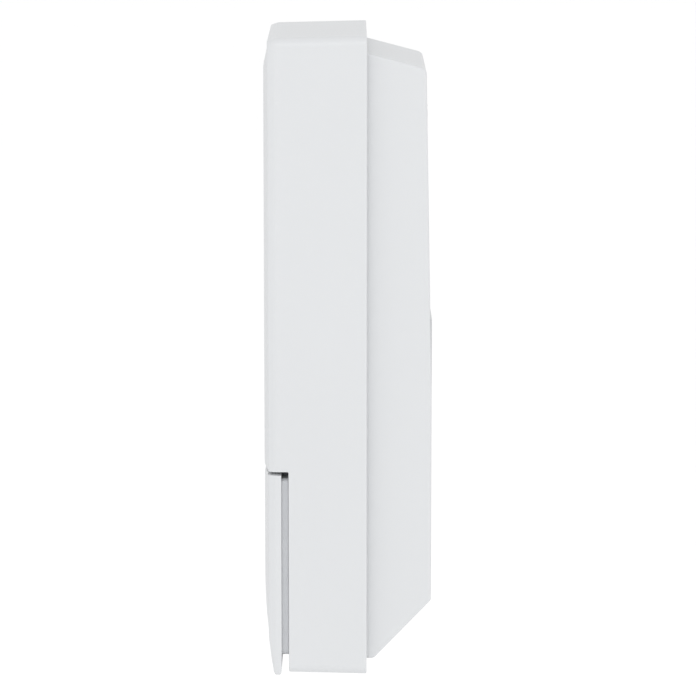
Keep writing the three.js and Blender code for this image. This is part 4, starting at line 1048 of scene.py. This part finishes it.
def pale_floor():
    edge = FLOOR_SIZE / MM
    level = -HALF_H - FLOOR_DROP / MM
    corners = [(-edge, -edge, level), (edge, -edge, level), (edge, edge, level), (-edge, edge, level)]
    plane = mesh_object("floor", corners, [(0, 1, 2, 3)])
    material, tree, shader, place = node_set("floor")
    haze = noise(tree, place, 3, 2)
    tree.links.new(
        mix_colours(tree, haze, (0.97, 0.97, 0.97), (0.98, 0.98, 0.98)), shader.inputs["Base Color"],
    )
    tree.links.new(ramp(tree, haze, 0.85, 0.95), shader.inputs["Roughness"])
    plane.data.materials.append(material)


def studio_light():
    world = bpy.data.worlds.new("studio")
    SCENE.world = world
    world.use_nodes = True
    background = world.node_tree.nodes["Background"]
    background.inputs["Color"].default_value = (1.0, 1.0, 1.0, 1.0)
    background.inputs["Strength"].default_value = WORLD_LIGHT
    for name, place, size, watts in LAMPS:
        data = bpy.data.lights.new(name, "AREA")
        data.shape = "DISK"
        data.size = size
        data.energy = watts
        lamp = bpy.data.objects.new(name, data)
        lamp.location = place
        lamp.rotation_euler = (-Vector(place)).to_track_quat("-Z", "Y").to_euler()
        SCENE.collection.objects.link(lamp)


CAMERA_DISTANCE = 0.8
CAMERA_PITCH = 9.5  # degrees down
SENSOR_MM = 36.0
FRAME_MM = 150.4  # height of the view at the doorbell
TARGET = ((HALF_W - 1) * MM * 0.5, (FRONT_Y / 2) * MM, 0.0007)  # metres


def photo_camera():
    """A long lens at the side of the doorbell, looking slightly down on its top."""
    data = bpy.data.cameras.new("camera")
    data.sensor_width = SENSOR_MM
    data.lens = SENSOR_MM * CAMERA_DISTANCE / (FRAME_MM * MM)
    data.clip_end = 50
    camera = bpy.data.objects.new("camera", data)
    pitch = math.radians(CAMERA_PITCH)
    target = Vector(TARGET)
    away = Vector((math.cos(pitch), 0.0, math.sin(pitch)))
    camera.location = target + away * CAMERA_DISTANCE
    camera.rotation_euler = away.to_track_quat("Z", "Y").to_euler()
    SCENE.collection.objects.link(camera)
    SCENE.camera = camera
    SCENE.view_settings.view_transform = "Standard"


# ---- Assembly ----

dress_cad_nodes()
front_shell()
bell_cover()
light_strip()
rear_shell()
window_panel()
lens_tube()
lens_dome()
inner_lens()
pir_dome()
for number in range(1, 5):
    fine_screw(f"housing_screw_{number}", "y", True)
for number in (1, 2):
    fine_screw(f"board_screw_{number}", "y", True)
    fine_screw(f"terminal_screw_{number}", "y", True)
fine_screw("security_screw", "z", False)
refined("wall_plate", "wall_plate", "hanger_plate", 0.25)
refined("terminal_block", "unit", "terminal_housing", 0.15)
refined("battery_connector", "unit", "battery_plug", 0.12)
pale_floor()
studio_light()
photo_camera()
